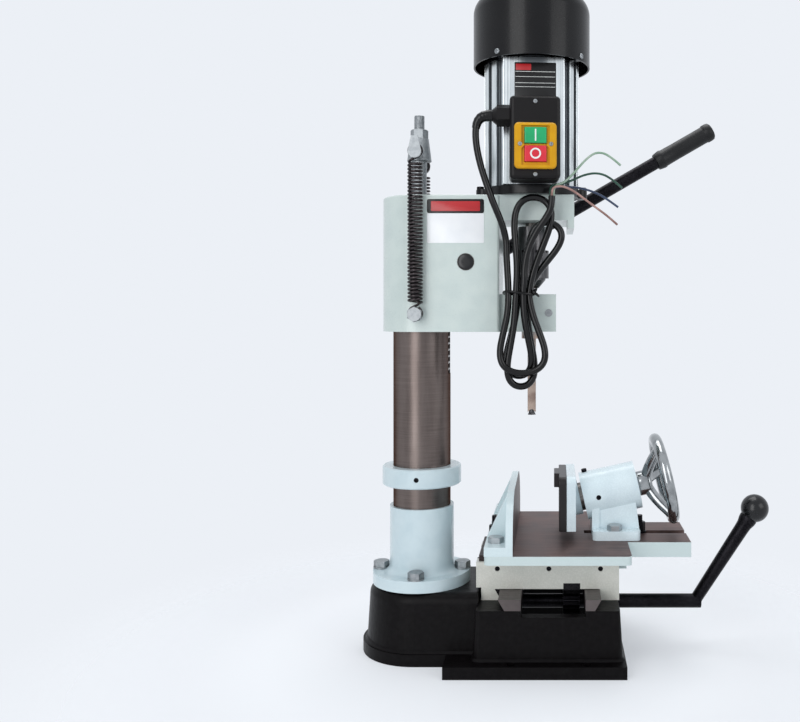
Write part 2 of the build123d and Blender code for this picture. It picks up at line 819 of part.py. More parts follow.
def pinion_bushes():
    """The two bushes that the feed shaft turns in."""
    return [along_feed_axis(feed_bush_radius - fit_gap, start, end)
            - along_feed_axis(feed_shaft_radius + run_gap, start, end) for start, end in feed_bush_spans]


def feed_pinion_shaft():
    """The pinion that climbs the column's rack, on its shaft."""
    lever_end = lever_plane + lever_hub_length / 2
    start = (feed_axis, -feed_pinion_face / 2, feed_pinion_height)
    seat = Plane(origin=start, x_dir=(-1, 0, 0), z_dir=(0, 1, 0))
    pinion = seat * spur_gear(feed_pinion_teeth, feed_pinion_face)
    return along_feed_axis(feed_shaft_radius, -head_half_width, lever_end) + pinion


def lever_point(reach):
    """A point on the feed lever's middle line, at a reach from the pinion's axis."""
    return Vector(feed_axis, lever_plane, feed_pinion_height) + lever_way * reach


def lever_rod_start():
    """The point on the feed lever's middle line where its rod meets the pinion's shaft."""
    return lever_point(feed_shaft_radius + free_gap)


def lever_hub():
    """The hub of the feed lever, which can be set at any angle on the pinion's shaft."""
    start = lever_plane - lever_hub_length / 2
    end = lever_plane + lever_hub_length / 2
    hub = along_feed_axis(lever_hub_radius, start, end)
    hub = chamfer(hub.edges().filter_by(GeomType.CIRCLE), head_edge_radius)
    hub -= along_feed_axis(feed_shaft_radius + run_gap, start, end)
    return hub - rod(lever_radius + fit_gap, lever_rod_start(), lever_point(lever_length))


def feed_lever_rod():
    """The straight rod of the feed lever."""
    return rod(lever_radius, lever_rod_start(), lever_point(lever_length - grip_radius))


def feed_lever_grip():
    """The rubber grip with its rounded end."""
    grip = rod(grip_radius, lever_point(lever_length - grip_length), lever_point(lever_length))
    grip = fillet(grip.edges().filter_by(GeomType.CIRCLE).sort_by(Axis.Z)[-1], grip_radius / 2)
    bore_end = lever_point(lever_length - grip_radius + fit_gap)
    return grip - rod(lever_radius + fit_gap, lever_point(0), bore_end)


def motor_end_shield():
    """The black lower end of the motor, with an ear for a tie bolt at each side."""
    ears = Rectangle(2 * end_shield_ear_reach, end_shield_ear_width)
    for side in (-1, 1):
        ears += Pos(side * end_shield_ear_reach, 0) * Circle(end_shield_ear_width / 2)
    shield = Pos(0, 0, head_top) * extrude(Circle(housing_radius) + ears, end_shield_height)
    shield -= upright(shaft_radius + free_gap, head_top, housing_bottom)
    shield -= upright(bearing_radius + fit_gap, housing_bottom - bearing_height, housing_bottom)
    return motor_place * shield


def motor_housing():
    """The aluminium motor body, with cooling flutes all round and a flat pad under the switch box."""
    pad = Pos(0, -housing_flat / 2) * Rectangle(housing_pad_width, housing_flat)
    section = Circle(housing_radius)
    for flute in range(flute_count):
        angle = 360 * (flute + 1 / 2) / flute_count
        section -= Rot(0, 0, angle) * Pos(housing_radius, 0) * Rectangle(2 * flute_depth, flute_width)
    section -= Pos(0, -housing_flat - housing_radius / 2) * Rectangle(2 * housing_radius, housing_radius)
    section = section + pad - Circle(housing_radius - housing_wall)
    return motor_place * Pos(0, 0, housing_bottom) * extrude(section, housing_height)


def motor_top_shield():
    """The upper end shield, with the lugs that the fan cover is screwed to."""
    cover_bore = Circle(cover_radius - cover_wall - fit_gap)
    lugs = Sketch()
    for turn in range(cover_lug_count):
        angle = cover_lug_turn + 360 * turn / cover_lug_count
        lugs += Rot(0, 0, angle) * Pos(cover_radius / 2, 0) * Rectangle(cover_radius, cover_lug_width)
    section = (Circle(housing_radius) + lugs) & cover_bore
    section -= Circle(bearing_radius + fit_gap)
    return motor_place * Pos(0, 0, housing_top) * extrude(section, top_shield_height)


def motor_bearings():
    """The ball bearings of the rotor, as plain rings, one in each end shield."""
    rings = []
    for bottom in (housing_bottom - bearing_height, housing_top):
        ring = upright(bearing_radius, bottom, bottom + bearing_height, spindle_reach)
        rings.append(ring - upright(shaft_radius + run_gap, bottom, bottom + bearing_height, spindle_reach))
    return rings


def motor_stator():
    """The stator pack, pressed in the housing."""
    top = stator_bottom + stator_height
    pack = upright(housing_radius - housing_wall - fit_gap, stator_bottom, top, spindle_reach)
    return pack - upright(stator_bore_radius, stator_bottom, top, spindle_reach)


def rotor_shaft():
    """The rotor on its shaft, from the chuck's seat up to the fan."""
    core_top = stator_bottom + stator_height
    core = upright(stator_bore_radius - rotor_gap, stator_bottom, core_top, spindle_reach)
    return core + upright(shaft_radius, shaft_nose, fan_bottom + fan_height, spindle_reach)


def cooling_fan():
    """The fan on the shaft's upper end: a back plate with straight blades."""
    fan = upright(fan_radius, 0, fan_blade) + upright(fan_hub_radius, 0, fan_height)
    for turn in range(fan_blade_count):
        blade = block(fan_hub_radius - fan_blade, fan_radius, -fan_blade / 2, fan_blade / 2, 0, fan_height)
        fan += Rot(0, 0, 360 * turn / fan_blade_count) * blade
    return Pos(spindle_reach, 0, fan_bottom) * (fan - upright(shaft_radius + fit_gap, 0, fan_height))


def fan_cover():
    """The black cover over the fan, open below, with a ring of vents in its top."""
    def dome(radius, top, edge_radius):
        shape = upright(radius, cover_bottom, top)
        return fillet(shape.edges().filter_by(GeomType.CIRCLE).sort_by(Axis.Z)[-1], edge_radius)

    top = cover_bottom + cover_height
    cover = dome(cover_radius, top, cover_edge_radius)
    cover -= dome(cover_radius - cover_wall, top - cover_wall, cover_edge_radius - cover_wall)
    vent_end = cover_radius - cover_edge_radius
    vent_half = cover_vent_width / 2
    vent = block(cover_vent_start, vent_end, -vent_half, vent_half, top - 2 * cover_wall, top)
    for turn in range(cover_vent_count):
        cover -= Rot(0, 0, 360 * turn / cover_vent_count) * vent
    return motor_place * cover


def switch_box():
    """The switch housing, open at its back against the motor's pad and in front behind the bezel."""
    half = switch_width / 2
    top = switch_bottom + switch_height
    box = block(-half, half, switch_front, -housing_flat, switch_bottom, top)
    outer = [edge for edge in box.edges() if edge.center().Y < -housing_flat - fit_gap]
    box = fillet(outer, switch_edge_radius)
    box -= block(switch_wall - half, half - switch_wall, switch_front + switch_wall, -housing_flat,
                 switch_bottom + switch_wall, top - switch_wall)
    opening_half = bezel_width / 2 - 2 * switch_wall
    opening_rise = bezel_height / 2 - switch_wall
    box -= block(-opening_half, opening_half, switch_front, switch_front + switch_wall,
                 bezel_middle - opening_rise, bezel_middle + opening_rise)
    return motor_place * box


def button_middle(side):
    """The height of the start (1) or stop (-1) button."""
    return bezel_middle + button_lift + side * button_spacing / 2


def switch_bezel():
    """The yellow frame round the two buttons, with a notched well in its face."""
    front = switch_front - bezel_thickness
    half_width = bezel_width / 2
    half_height = bezel_height / 2
    bezel = block(-half_width, half_width, front, switch_front,
                  bezel_middle - half_height, bezel_middle + half_height)
    bezel = fillet(bezel.edges().filter_by(Axis.Y), switch_edge_radius)
    bezel = chamfer(bezel.faces().sort_by(Axis.Y)[0].edges(), bezel_chamfer)
    well = [(well_half_width, well_half_height), (well_half_width, well_notch),
            (well_half_width - well_notch, 0), (well_half_width, -well_notch),
            (well_half_width, -well_half_height)]
    well += [(-x, z) for x, z in reversed(well)]
    bezel -= prism_along_y([(x, bezel_middle + z) for x, z in well], front, front + well_depth)
    window_half = button_width / 2 + free_gap / 2
    window_rise = button_height / 2 + free_gap / 2
    for side in (-1, 1):
        middle = button_middle(side)
        bezel -= block(-window_half, window_half, front, switch_front,
                       middle - window_rise, middle + window_rise)
    return motor_place * bezel


def push_button(side):
    """A push button with a flange behind the bezel: start (1) or stop (-1)."""
    face = switch_front - bezel_thickness - button_proud
    middle = button_middle(side)
    half_width = button_width / 2
    half_height = button_height / 2
    cap = block(-half_width, half_width, face, face + button_depth,
                middle - half_height, middle + half_height)
    cap = fillet(cap.edges().group_by(Axis.Y)[0], button_edge_radius)
    flange_back = switch_front + run_gap
    cap += block(-half_width - button_lip, half_width + button_lip, flange_back, flange_back + switch_wall,
                 middle - half_height - button_lip, middle + half_height + button_lip)
    return motor_place * cap


def cable_gland():
    """The cord's gland on the side of the switch box: a six-sided nut with a domed mouth."""
    side = -switch_width / 2
    middle = switch_front + switch_wall + gland_flats / 2
    height = switch_bottom + gland_rise
    dome_radius = gland_flats / 2
    dome_start = side - gland_nut_length
    gland = hex_bar(gland_flats, (side, middle, height), (dome_start, middle, height))
    dome_length = gland_length - gland_nut_length
    dome = Cone(dome_radius, gland_mouth_radius, dome_length, align=from_end)
    gland += Plane(origin=(dome_start, middle, height), z_dir=(-1, 0, 0)) * dome
    return motor_place * gland


def chuck_body():
    """The core of the drill chuck, on the shaft's nose, with its jaws as a cone below."""
    body = upright(chuck_body_radius, chuck_bottom + jaw_cone_height, chuck_top, spindle_reach)
    cone = Cone(chuck_body_radius / 2, chuck_body_radius, jaw_cone_height, align=from_end)
    body += Pos(spindle_reach, 0, chuck_bottom) * cone
    body -= upright(shaft_radius + fit_gap, shaft_nose, chuck_top, spindle_reach)
    return body - upright(auger_radius + fit_gap, chuck_bottom, auger_top, spindle_reach)


def chuck_sleeve():
    """The key sleeve of the chuck, with its ring of key teeth on the upper end."""
    top = chuck_sleeve_bottom + chuck_sleeve_height
    sleeve = upright(chuck_sleeve_radius, chuck_sleeve_bottom, top)
    for tooth in range(chuck_key_teeth):
        gap = block(chuck_body_radius, chuck_sleeve_radius, -chuck_key_tooth / 2, chuck_key_tooth / 2,
                    top - chuck_key_tooth, top)
        sleeve -= Rot(0, 0, 360 * tooth / chuck_key_teeth) * gap
    sleeve -= upright(chuck_body_radius + fit_gap, chuck_sleeve_bottom, top)
    return Pos(spindle_reach, 0, 0) * sleeve


def auger_bit():
    """The auger inside the chisel, with its flared cutting end below the chisel's points."""
    shank = upright(auger_radius, chisel_tip, auger_top, spindle_reach)
    lips = Cone(chisel_side / 2, auger_radius, auger_proud, align=from_end)
    return shank + Pos(spindle_reach, 0, chisel_tip - auger_proud) * lips


def hollow_chisel():
    """The square hollow chisel: a round shank with a shoulder, four points, and a window for the chips."""
    half = chisel_side / 2
    blade = block(spindle_reach - half, spindle_reach + half, -half, half, chisel_tip, head_bottom)
    point_depth = chisel_side - chisel_bore_radius
    hollow = Cone(chisel_side * sqrt(2) / 2, chisel_bore_radius, point_depth, align=from_end)
    blade -= Pos(spindle_reach, 0, chisel_tip) * hollow
    shoulder = upright(chisel_bush_radius, head_bottom - chisel_shoulder_height, head_bottom, spindle_reach)
    chisel = blade + shoulder + upright(chisel_shank_radius, head_bottom, lower_arm_top, spindle_reach)
    chisel -= upright(chisel_bore_radius, chisel_tip, lower_arm_top, spindle_reach)
    window_half = chisel_window_width / 2
    window_bottom = chisel_tip + chisel_window_rise
    return chisel - block(spindle_reach, spindle_reach + half, -window_half, window_half,
                          window_bottom, window_bottom + chisel_window_length)


def chisel_bush():
    """The split bush between the chisel's shank and the lower arm."""
    bush = upright(chisel_bush_radius, head_bottom, lower_arm_top, spindle_reach)
    bush -= upright(chisel_shank_radius + fit_gap, head_bottom, lower_arm_top, spindle_reach)
    half_slit = pinch_slit / 2
    return bush - block(spindle_reach, lower_arm_front, -half_slit, half_slit, head_bottom, lower_arm_top)


def chisel_pinch_bolt():
    """The socket screw that pinches the lower arm on the chisel."""
    seat = pinch_head_length - lower_arm_half_width
    bolt = along_pinch_bolt(pinch_head_radius, free_gap - lower_arm_half_width, seat)
    bolt += along_pinch_bolt(pinch_bolt_radius, seat, lower_arm_half_width - pinch_head_length)
    x = spindle_reach + pinch_reach
    socket_floor = (x, pinch_socket_depth - lower_arm_half_width, pinch_height)
    return bolt - hex_bar(pinch_head_radius, (x, -lower_arm_half_width, pinch_height), socket_floor)


def saddle_casting():
    """The saddle: legs round the base's ways below, and a cross dovetail for the table on top."""
    half = saddle_half_width
    saddle = block(saddle_back, saddle_front, -half, half, saddle_bottom, saddle_top)
    saddle += block(saddle_leg_back, saddle_front, -half, half, box_top + run_gap, saddle_bottom)
    # Below: room for the ways, with a gib along their back flank, and the groove of the rack
    back_low = way_back + way_lean - gib_span
    front_low = way_front - way_lean + run_gap
    roof = way_top + free_gap
    roof_lean = (roof - box_top) / tan(radians(dovetail_angle))
    saddle -= prism_along_y([(back_low, box_top), (back_low - roof_lean, roof), (front_low + roof_lean, roof),
                             (front_low, box_top)], -half, half)
    saddle -= block(table_pinion_back - fit_gap, table_pinion_back + table_pinion_face + fit_gap, -half, half,
                    roof, table_rack_back)
    # Above: room for the table's tail, with a gib along its near flank
    floor = tail_bottom - free_gap
    floor_lean = (saddle_top - floor) / tan(radians(dovetail_angle))
    near = tail_half_width + gib_span
    far = tail_half_width + run_gap
    saddle -= prism_along_x([(-near, saddle_top), (far, saddle_top), (far + floor_lean, floor),
                             (-near - floor_lean, floor)], saddle_back, saddle_front)
    for x in gib_screw_places:
        saddle -= rod(gib_screw_radius, (x, -half, gib_screw_height), (x, -tail_half_width, gib_screw_height))
    return saddle


def gib_strips():
    """The two gib strips: under the saddle on the ways' back flank, and on the tail's near flank."""
    span = gib_thickness / sin(radians(dovetail_angle))
    foot = way_back + way_lean - run_gap
    lower = prism_along_y([(foot, box_top + run_gap), (foot - way_lean, way_top),
                           (foot - way_lean - span, way_top), (foot - span, box_top + run_gap)],
                          -saddle_half_width, saddle_half_width)
    edge = -tail_half_width - run_gap
    upper = prism_along_x([(edge, saddle_top), (edge - tail_lean, tail_bottom),
                           (edge - tail_lean - span, tail_bottom), (edge - span, saddle_top)],
                          saddle_back, saddle_front)
    return [lower, upper]


def saddle_rack():
    """The rack under the saddle, its teeth down, which the table's pinion drives."""
    outline = rack_outline(-saddle_half_width, saddle_half_width, 0, table_pitch_plane - table_rack_back)
    return prism_along_x([(along, table_pitch_plane - height) for along, height in outline],
                         table_pinion_back, table_pinion_back + table_pinion_face)


def table_rod_point(reach):
    """A point on the table lever's rod, at a reach from the shaft's axis."""
    tilt = radians(table_rod_tilt)
    return Vector(table_rod_foot + reach * sin(tilt), 0, table_shaft_height + reach * cos(tilt))


def table_pinion_shaft():
    """The pinion under the saddle, on the shaft that comes out at the front and takes the lever's rod."""
    shaft = rod(table_shaft_radius, (table_shaft_back, 0, table_shaft_height),
                (table_shaft_front, 0, table_shaft_height))
    shaft = chamfer(shaft.edges().filter_by(GeomType.CIRCLE).sort_by(Axis.X)[-1], table_shaft_chamfer)
    seat = Plane(origin=(table_pinion_back, 0, table_shaft_height), x_dir=(0, 0, 1), z_dir=(1, 0, 0))
    shaft += seat * spur_gear(table_pinion_teeth, table_pinion_face)
    return shaft - rod(table_rod_radius + fit_gap, table_rod_point(0), table_rod_point(table_rod_length))


def table_lever_rod():
    """The rod from the shaft's end up to the ball knob."""
    rod_end = table_rod_length - knob_radius + knob_seat_depth
    return rod(table_rod_radius, table_rod_point(fit_gap), table_rod_point(rod_end))


def ball_knob():
    """The ball knob, with a flat neck where the rod enters."""
    ball = Pos(*table_rod_point(table_rod_length)) * Sphere(knob_radius)
    seat_end = table_rod_length - knob_radius + knob_seat_depth + fit_gap
    return ball - rod(table_rod_radius + fit_gap, table_rod_point(0), table_rod_point(seat_end))


def table_top():
    """The work table: a plate with a front extension, a T-slot, and the tail that slides in the saddle."""
    plate = block(table_back, table_step, -table_half_width, table_half_width, table_bottom, table_top_height)
    plate = fillet(plate.edges().filter_by(Axis.Z), table_corner_radius)
    extension = block(table_step - table_corner_radius, table_front,
                      -extension_half_width, extension_half_width,
                      table_top_height - extension_thickness, table_top_height)
    slide_bottom = saddle_top + run_gap
    slide = block(table_back, table_step, -slide_half_width, slide_half_width, slide_bottom, table_bottom)
    slide += block(table_back - tongue_length, table_back, -slide_half_width, slide_half_width,
                   slide_bottom, slide_bottom + tongue_height)
    neck = tail_half_width
    foot = neck + tail_lean
    tail = prism_along_x([(-neck, slide_bottom), (neck, slide_bottom), (neck, saddle_top),
                          (foot, tail_bottom), (-foot, tail_bottom), (-neck, saddle_top)],
                         table_back - tongue_length, table_step)
    table = plate + extension + slide + tail
    table -= block(t_slot_back, table_front, -t_slot_width / 2, t_slot_width / 2,
                   t_slot_floor, table_top_height)
    table -= block(t_slot_back, table_front, -t_slot_foot_width / 2, t_slot_foot_width / 2,
                   t_slot_floor - t_slot_foot_depth, t_slot_floor)
    for x, y in table_bolt_places:
        table -= upright(table_bolt_radius + fit_gap, table_top_height - table_bolt_grip,
                         table_top_height, x, y)
    return table


def fence():
    """The fence: an upright plate with rounded upper corners, on a foot with two gussets behind."""
    top = table_top_height + fence_height
    plate = block(fence_back, fence_face, -table_half_width, table_half_width, table_top_height, top)
    plate = fillet(plate.edges().filter_by(Axis.X).group_by(Axis.Z)[-1], fence_corner_radius)
    foot_top = table_top_height + fence_foot_height
    piece = plate + block(table_back, fence_back, -table_half_width, table_half_width,
                          table_top_height, foot_top)
    for side in (-1, 1):
        middle = side * gusset_place
        gusset = [(table_back + fit_gap, foot_top), (fence_back, table_top_height + gusset_height),
                  (fence_back, foot_top)]
        piece += prism_along_y(gusset, middle - gusset_thickness / 2, middle + gusset_thickness / 2)
    for x, y in fence_bolt_places:
        piece -= upright(table_bolt_radius + free_gap, table_top_height, foot_top, x, y)
    return piece


def clamp_body():
    """The clamp: an inclined barrel on a foot plate, with an upright web and a wall along each side."""
    foot = block(clamp_foot_back, clamp_foot_front, -clamp_foot_half_width, clamp_foot_half_width,
                 table_top_height, clamp_foot_top)
    foot = fillet(foot.edges().filter_by(Axis.Z), table_corner_radius)
    barrel = rod(barrel_radius, on_clamp(-barrel_length), on_clamp(0))
    wall_top = clamp_nose_height - barrel_radius / 2
    web = block(clamp_foot_back, clamp_foot_back + clamp_web_thickness, -clamp_web_half_width,
                clamp_web_half_width, clamp_foot_top, wall_top)
    body = foot + barrel + web
    for side in (-1, 1):
        middle = side * clamp_wall_place
        body += prism_along_y([(clamp_foot_back, clamp_foot_top), (clamp_foot_front, clamp_foot_top),
                               (clamp_nose - clamp_wall_setback, wall_top), (clamp_foot_back, wall_top)],
                              middle - clamp_wall_thickness / 2, middle + clamp_wall_thickness / 2)
    body -= rod(ram_radius + run_gap, on_clamp(-barrel_length), on_clamp(-barrel_end_wall))
    body -= rod(screw_radius + run_gap, on_clamp(-barrel_end_wall), on_clamp(0))
    body -= rod(clamp_key_hole_radius + fit_gap, on_clamp(clamp_key_reach),
                on_clamp(clamp_key_reach) + key_way * barrel_radius)
    # The bolt holes of the foot, and the notch in its front edge for the bolt in the T-slot
    for x, y in clamp_bolt_places:
        body -= upright(table_bolt_radius + free_gap, table_top_height, clamp_foot_top, x, y)
    return body - upright(t_washer_radius + free_gap, table_top_height, clamp_foot_top, t_bolt_reach)


def table_bolts():
    """The hex bolts of fence and clamp, the T-slot's bolt with its nut, and the key screw of the ram."""
    pieces = []
    for places, plate in ((fence_bolt_places, fence_foot_height), (clamp_bolt_places, clamp_foot_height)):
        for x, y in places:
            seat = (x, y, table_top_height + plate)
            pieces.append(hex_bolt(table_bolt_radius, table_bolt_flats, table_bolt_head, seat,
                                   plate + table_bolt_grip, (0, 0, 1)))
    foot = t_slot_floor - t_slot_foot_depth + fit_gap
    half = t_slot_foot_width / 2 - free_gap
    t_bolt = block(t_bolt_reach - half, t_bolt_reach + half, -half, half, foot, t_slot_floor - fit_gap)
    pieces.append(t_bolt + upright(t_bolt_radius, foot, table_top_height + t_bolt_rise, t_bolt_reach))
    nut_bottom = table_top_height + t_washer_height
    nut_top = nut_bottom + t_nut_height
    nut = hex_head(t_nut_flats, (t_bolt_reach, 0, nut_bottom), (t_bolt_reach, 0, nut_top))
    nut += upright(t_washer_radius, table_top_height, nut_bottom, t_bolt_reach)
    pieces.append(nut - upright(t_bolt_radius + fit_gap, table_top_height, nut_top, t_bolt_reach))
    key_end = on_clamp(clamp_key_reach)
    key_tip = ram_radius - keyway_depth + free_gap
    pieces.append(rod(clamp_key_hole_radius, key_end + key_way * key_tip,
                      key_end + key_way * (barrel_radius - clamp_key_hole_radius)))
    return pieces


def jaw_plate():
    """The upright jaw plate, with a boss round the ram that carries it."""
    plate = block(jaw_back, jaw_rear, -jaw_half_width, jaw_half_width, jaw_bottom, jaw_bottom + jaw_height)
    plate = fillet(plate.edges().filter_by(Axis.X).group_by(Axis.Z)[-1], jaw_corner_radius)
    boss_start = on_clamp(-2 * barrel_length)
    boss_end = on_clamp(-barrel_length - jaw_boss_gap)
    boss = rod(jaw_boss_radius, boss_start, boss_end) - rod(ram_radius + fit_gap, boss_start, boss_end)
    return plate + (boss - before_jaw_rear())


def before_jaw_rear():
    """The room before the rear face of the jaw plate."""
    return block(0, jaw_rear, -barrel_radius, barrel_radius, 0, 2 * clamp_nose_height)


def jaw_facing():
    """The dark facing of the jaw, with a hook that holds the work down."""
    facing = block(jaw_face, jaw_back, -jaw_half_width, jaw_half_width,
                   jaw_bottom, jaw_bottom + facing_height)
    facing = fillet(facing.edges().filter_by(Axis.X).group_by(Axis.Z)[-1], jaw_corner_radius)
    hook_bottom = jaw_bottom + hook_lift
    hook = block(jaw_face - hook_length, jaw_face, -hook_width / 2, hook_width / 2,
                 hook_bottom, hook_bottom + hook_height)
    return facing + hook


def jaw_ram():
    """The ram that carries the jaw, with a blind hole for the screw and a keyway on its near side."""
    ram = rod(ram_radius, on_clamp(-2 * barrel_length), on_clamp(ram_end))
    ram -= rod(screw_radius + run_gap, on_clamp(screw_tip - free_gap), on_clamp(ram_end))
    half_key = clamp_key_hole_radius + run_gap
    keyway_start = clamp_key_reach - half_key
    length = ram_end - keyway_start
    along = Plane(origin=on_clamp(keyway_start), x_dir=(0, 1, 0), z_dir=clamp_way)
    ram -= along * Pos(keyway_depth / 2 - ram_radius, 0, length / 2) * Box(keyway_depth, 2 * half_key, length)
    return ram - before_jaw_rear()


def clamp_screw():
    """The clamp's screw, held in the barrel's end wall by its collar."""
    collar_end = -barrel_end_wall - run_gap
    screw = rod(screw_radius, on_clamp(screw_tip), on_clamp(run_gap + wheel_hub_length))
    return screw + rod(screw_collar_radius, on_clamp(collar_end - screw_collar_length), on_clamp(collar_end))


def handwheel():
    """The dished handwheel, with curved spokes from its hub out to the rim."""
    hub = Cylinder(wheel_hub_radius, wheel_hub_length, align=from_end)
    hub = fillet(hub.edges().filter_by(GeomType.CIRCLE).sort_by(Axis.Z)[-1], spoke_radius / 2)
    wheel = hub + Pos(0, 0, wheel_dish) * Torus(wheel_radius, rim_radius)
    root = (wheel_hub_radius - spoke_radius, 0, wheel_hub_length / 2)
    bend = (wheel_radius * 2 / 3, 0, wheel_hub_length / 2 + spoke_radius)
    path = ThreePointArc(root, bend, (wheel_radius, 0, wheel_dish))
    spoke = sweep(Plane(origin=path @ 0, z_dir=path % 0) * Circle(spoke_radius), path)
    for turn in range(spoke_count):
        wheel += Rot(0, 0, 360 * turn / spoke_count) * spoke
    wheel -= Cylinder(screw_radius + fit_gap, wheel_hub_length, align=from_end)
    return Plane(origin=on_clamp(run_gap), x_dir=(0, 1, 0), z_dir=clamp_way) * wheel


def cord_tube(route, radius):
    """A tube along a route, with an arc at each corner as large as the runs beside it allow."""
    points = [Vector(place) for place in route]
    runs = [end - start for start, end in zip(points, points[1:])]
    radii = []
    for before, after in zip(runs, runs[1:]):
        half_turn = radians(before.get_angle(after)) / 2
        radii.append(run_share * min(before.length, after.length) / tan(half_turn))
    path = FilletPolyline(*points, radius=radii)
    tube = sweep(Plane(origin=points[0], z_dir=runs[0]) * Circle(radius), path)
    volume_share = tube.volume / (pi * radius ** 2 * path.length)
    print("length", round(path.length), "volume share", round(volume_share, 3), "radii", *map(round, radii))
    return tube


def cord_hank():
    """The outer shape of the tied hank: a wide lower loop, its waist, and the arch and side loop above."""
    lead_x, lead_ledge = lead_route[-1][0], lead_route[-1][2]
    neck = tail_route[0][2]
    up = Vector(0, 0, 1)
    belly_left = Vector(hank_left, 0, hank_belly)
    belly_right = Vector(hank_right, 0, hank_belly)
    neck_left = Vector(hank_waist_left, 0, neck)
    neck_right = Vector(hank_waist_right, 0, neck)
    lower = [
        ThreePointArc(belly_left, Vector((hank_left + hank_right) / 2, 0, hank_bottom), belly_right),
        Spline(belly_right, neck_right, tangents=(up, up)),
        Line(neck_right, neck_left),
        Spline(neck_left, belly_left, tangents=(-up, -up)),
    ]
    waist_left = (hank_waist_left, 0, hank_waist)
    waist_right = (hank_waist_right, 0, hank_waist)
    ledge_left = (lead_x - 2 * cord_radius, 0, lead_ledge)
    ledge_right = (arch_left, 0, lead_ledge)
    loop_foot = (side_loop_reach - cord_radius, 0, side_loop_low)
    loop_side = (side_loop_reach, 0, (side_loop_low + side_loop_high) / 2)
    loop_head = (arch_right - cord_radius, 0, side_loop_high)
    shoulder_left = (arch_left, 0, arch_shoulder)
    shoulder_right = (arch_right, 0, arch_shoulder)
    upper = [
        Line(waist_left, waist_right),
        Line(waist_right, loop_foot),
        ThreePointArc(loop_foot, loop_side, loop_head),
        Line(loop_head, shoulder_right),
        ThreePointArc(shoulder_right, ((arch_left + arch_right) / 2, 0, arch_top), shoulder_left),
        Line(shoulder_left, ledge_right),
        Line(ledge_right, ledge_left),
        Line(ledge_left, waist_left),
    ]
    hank = Pos(0, hank_front, 0) * extrude(make_face(lower), hank_rear - hank_front, dir=(0, 1, 0))
    arch_depth = hank_rear - hank_upper_front
    return hank + Pos(0, hank_upper_front, 0) * extrude(make_face(upper), arch_depth, dir=(0, 1, 0))


nodes = {
    "base_casting": base_casting(),
    "column_socket": column_socket(),
    "socket_bolts": socket_bolts(),
    "column_tube": column_tube(),
    "column_rack": column_rack(),
    "stop_collar": stop_collar(),
    "spring_stud": spring_stud(),
    "spring_crossbar": spring_crossbar(),
    "stud_nut": stud_nut(),
    "return_spring_near": return_spring(-1),
    "return_spring_far": return_spring(1),
    "head_casting": head_casting(),
    "spring_anchor_bolts": spring_anchor_bolts(),
    "pinion_bushes": pinion_bushes(),
    "feed_pinion_shaft": feed_pinion_shaft(),
    "lever_hub": lever_hub(),
    "feed_lever_rod": feed_lever_rod(),
    "feed_lever_grip": feed_lever_grip(),
    "motor_end_shield": motor_end_shield(),
    "motor_housing": motor_housing(),
    "motor_top_shield": motor_top_shield(),
    "motor_bearings": motor_bearings(),
    "motor_stator": motor_stator(),
    "rotor_shaft": rotor_shaft(),
    "cooling_fan": cooling_fan(),
    "fan_cover": fan_cover(),
    "switch_box": switch_box(),
    "switch_bezel": switch_bezel(),
    "start_button": push_button(1),
    "stop_button": push_button(-1),
    "cable_gland": cable_gland(),
    "chuck_body": chuck_body(),
    "chuck_sleeve": chuck_sleeve(),
    "auger_bit": auger_bit(),
    "hollow_chisel": hollow_chisel(),
    "chisel_bush": chisel_bush(),
    "chisel_pinch_bolt": chisel_pinch_bolt(),
    "saddle_casting": saddle_casting(),
    "gib_strips": gib_strips(),
    "saddle_rack": saddle_rack(),
    "table_pinion_shaft": table_pinion_shaft(),
    "table_lever_rod": table_lever_rod(),
    "ball_knob": ball_knob(),
    "table_top": table_top(),
    "fence": fence(),
    "clamp_body": clamp_body(),
    "table_bolts": table_bolts(),
    "jaw_plate": jaw_plate(),
    "jaw_facing": jaw_facing(),
    "jaw_ram": jaw_ram(),
    "clamp_screw": clamp_screw(),
    "handwheel": handwheel(),
    "cord_lead": cord_tube(lead_route, cord_radius),
    "cord_hank": cord_hank(),
    "cord_tail": cord_tube(tail_route, cord_radius),
}
for core, route in core_routes.items():
    nodes[core] = cord_tube(route, core_radius)

os.makedirs("parts", exist_ok=True)
for name, shape in nodes.items():
    export_step(Compound(children=shape) if isinstance(shape, list) else shape, f"parts/{name}.step")
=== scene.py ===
import json
from math import cos, pi, radians, sin, tau

import bmesh
import bpy
from mathutils import Matrix, Vector


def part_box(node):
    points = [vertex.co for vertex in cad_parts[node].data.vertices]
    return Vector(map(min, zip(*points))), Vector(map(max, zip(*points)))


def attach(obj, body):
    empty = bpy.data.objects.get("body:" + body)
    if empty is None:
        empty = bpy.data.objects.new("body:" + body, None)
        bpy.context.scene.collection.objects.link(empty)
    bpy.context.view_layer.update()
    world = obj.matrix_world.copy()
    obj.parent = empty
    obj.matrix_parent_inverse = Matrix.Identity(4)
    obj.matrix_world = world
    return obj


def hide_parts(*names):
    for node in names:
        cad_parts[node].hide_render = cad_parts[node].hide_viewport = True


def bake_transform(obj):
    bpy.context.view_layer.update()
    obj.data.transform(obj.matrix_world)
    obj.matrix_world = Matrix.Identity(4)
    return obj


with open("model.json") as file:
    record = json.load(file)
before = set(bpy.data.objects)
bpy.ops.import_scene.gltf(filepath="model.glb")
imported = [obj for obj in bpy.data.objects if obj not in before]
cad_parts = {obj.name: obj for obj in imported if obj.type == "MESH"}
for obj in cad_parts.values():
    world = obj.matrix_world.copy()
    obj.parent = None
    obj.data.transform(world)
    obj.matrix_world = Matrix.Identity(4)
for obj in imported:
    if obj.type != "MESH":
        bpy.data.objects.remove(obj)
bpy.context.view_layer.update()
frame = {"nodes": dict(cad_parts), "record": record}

# The dressed look of a bench mortiser. Sizes are written in millimetres times mm, so that every length
# that Blender gets is in metres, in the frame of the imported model. The camera's side is -Y.
mm = 0.001
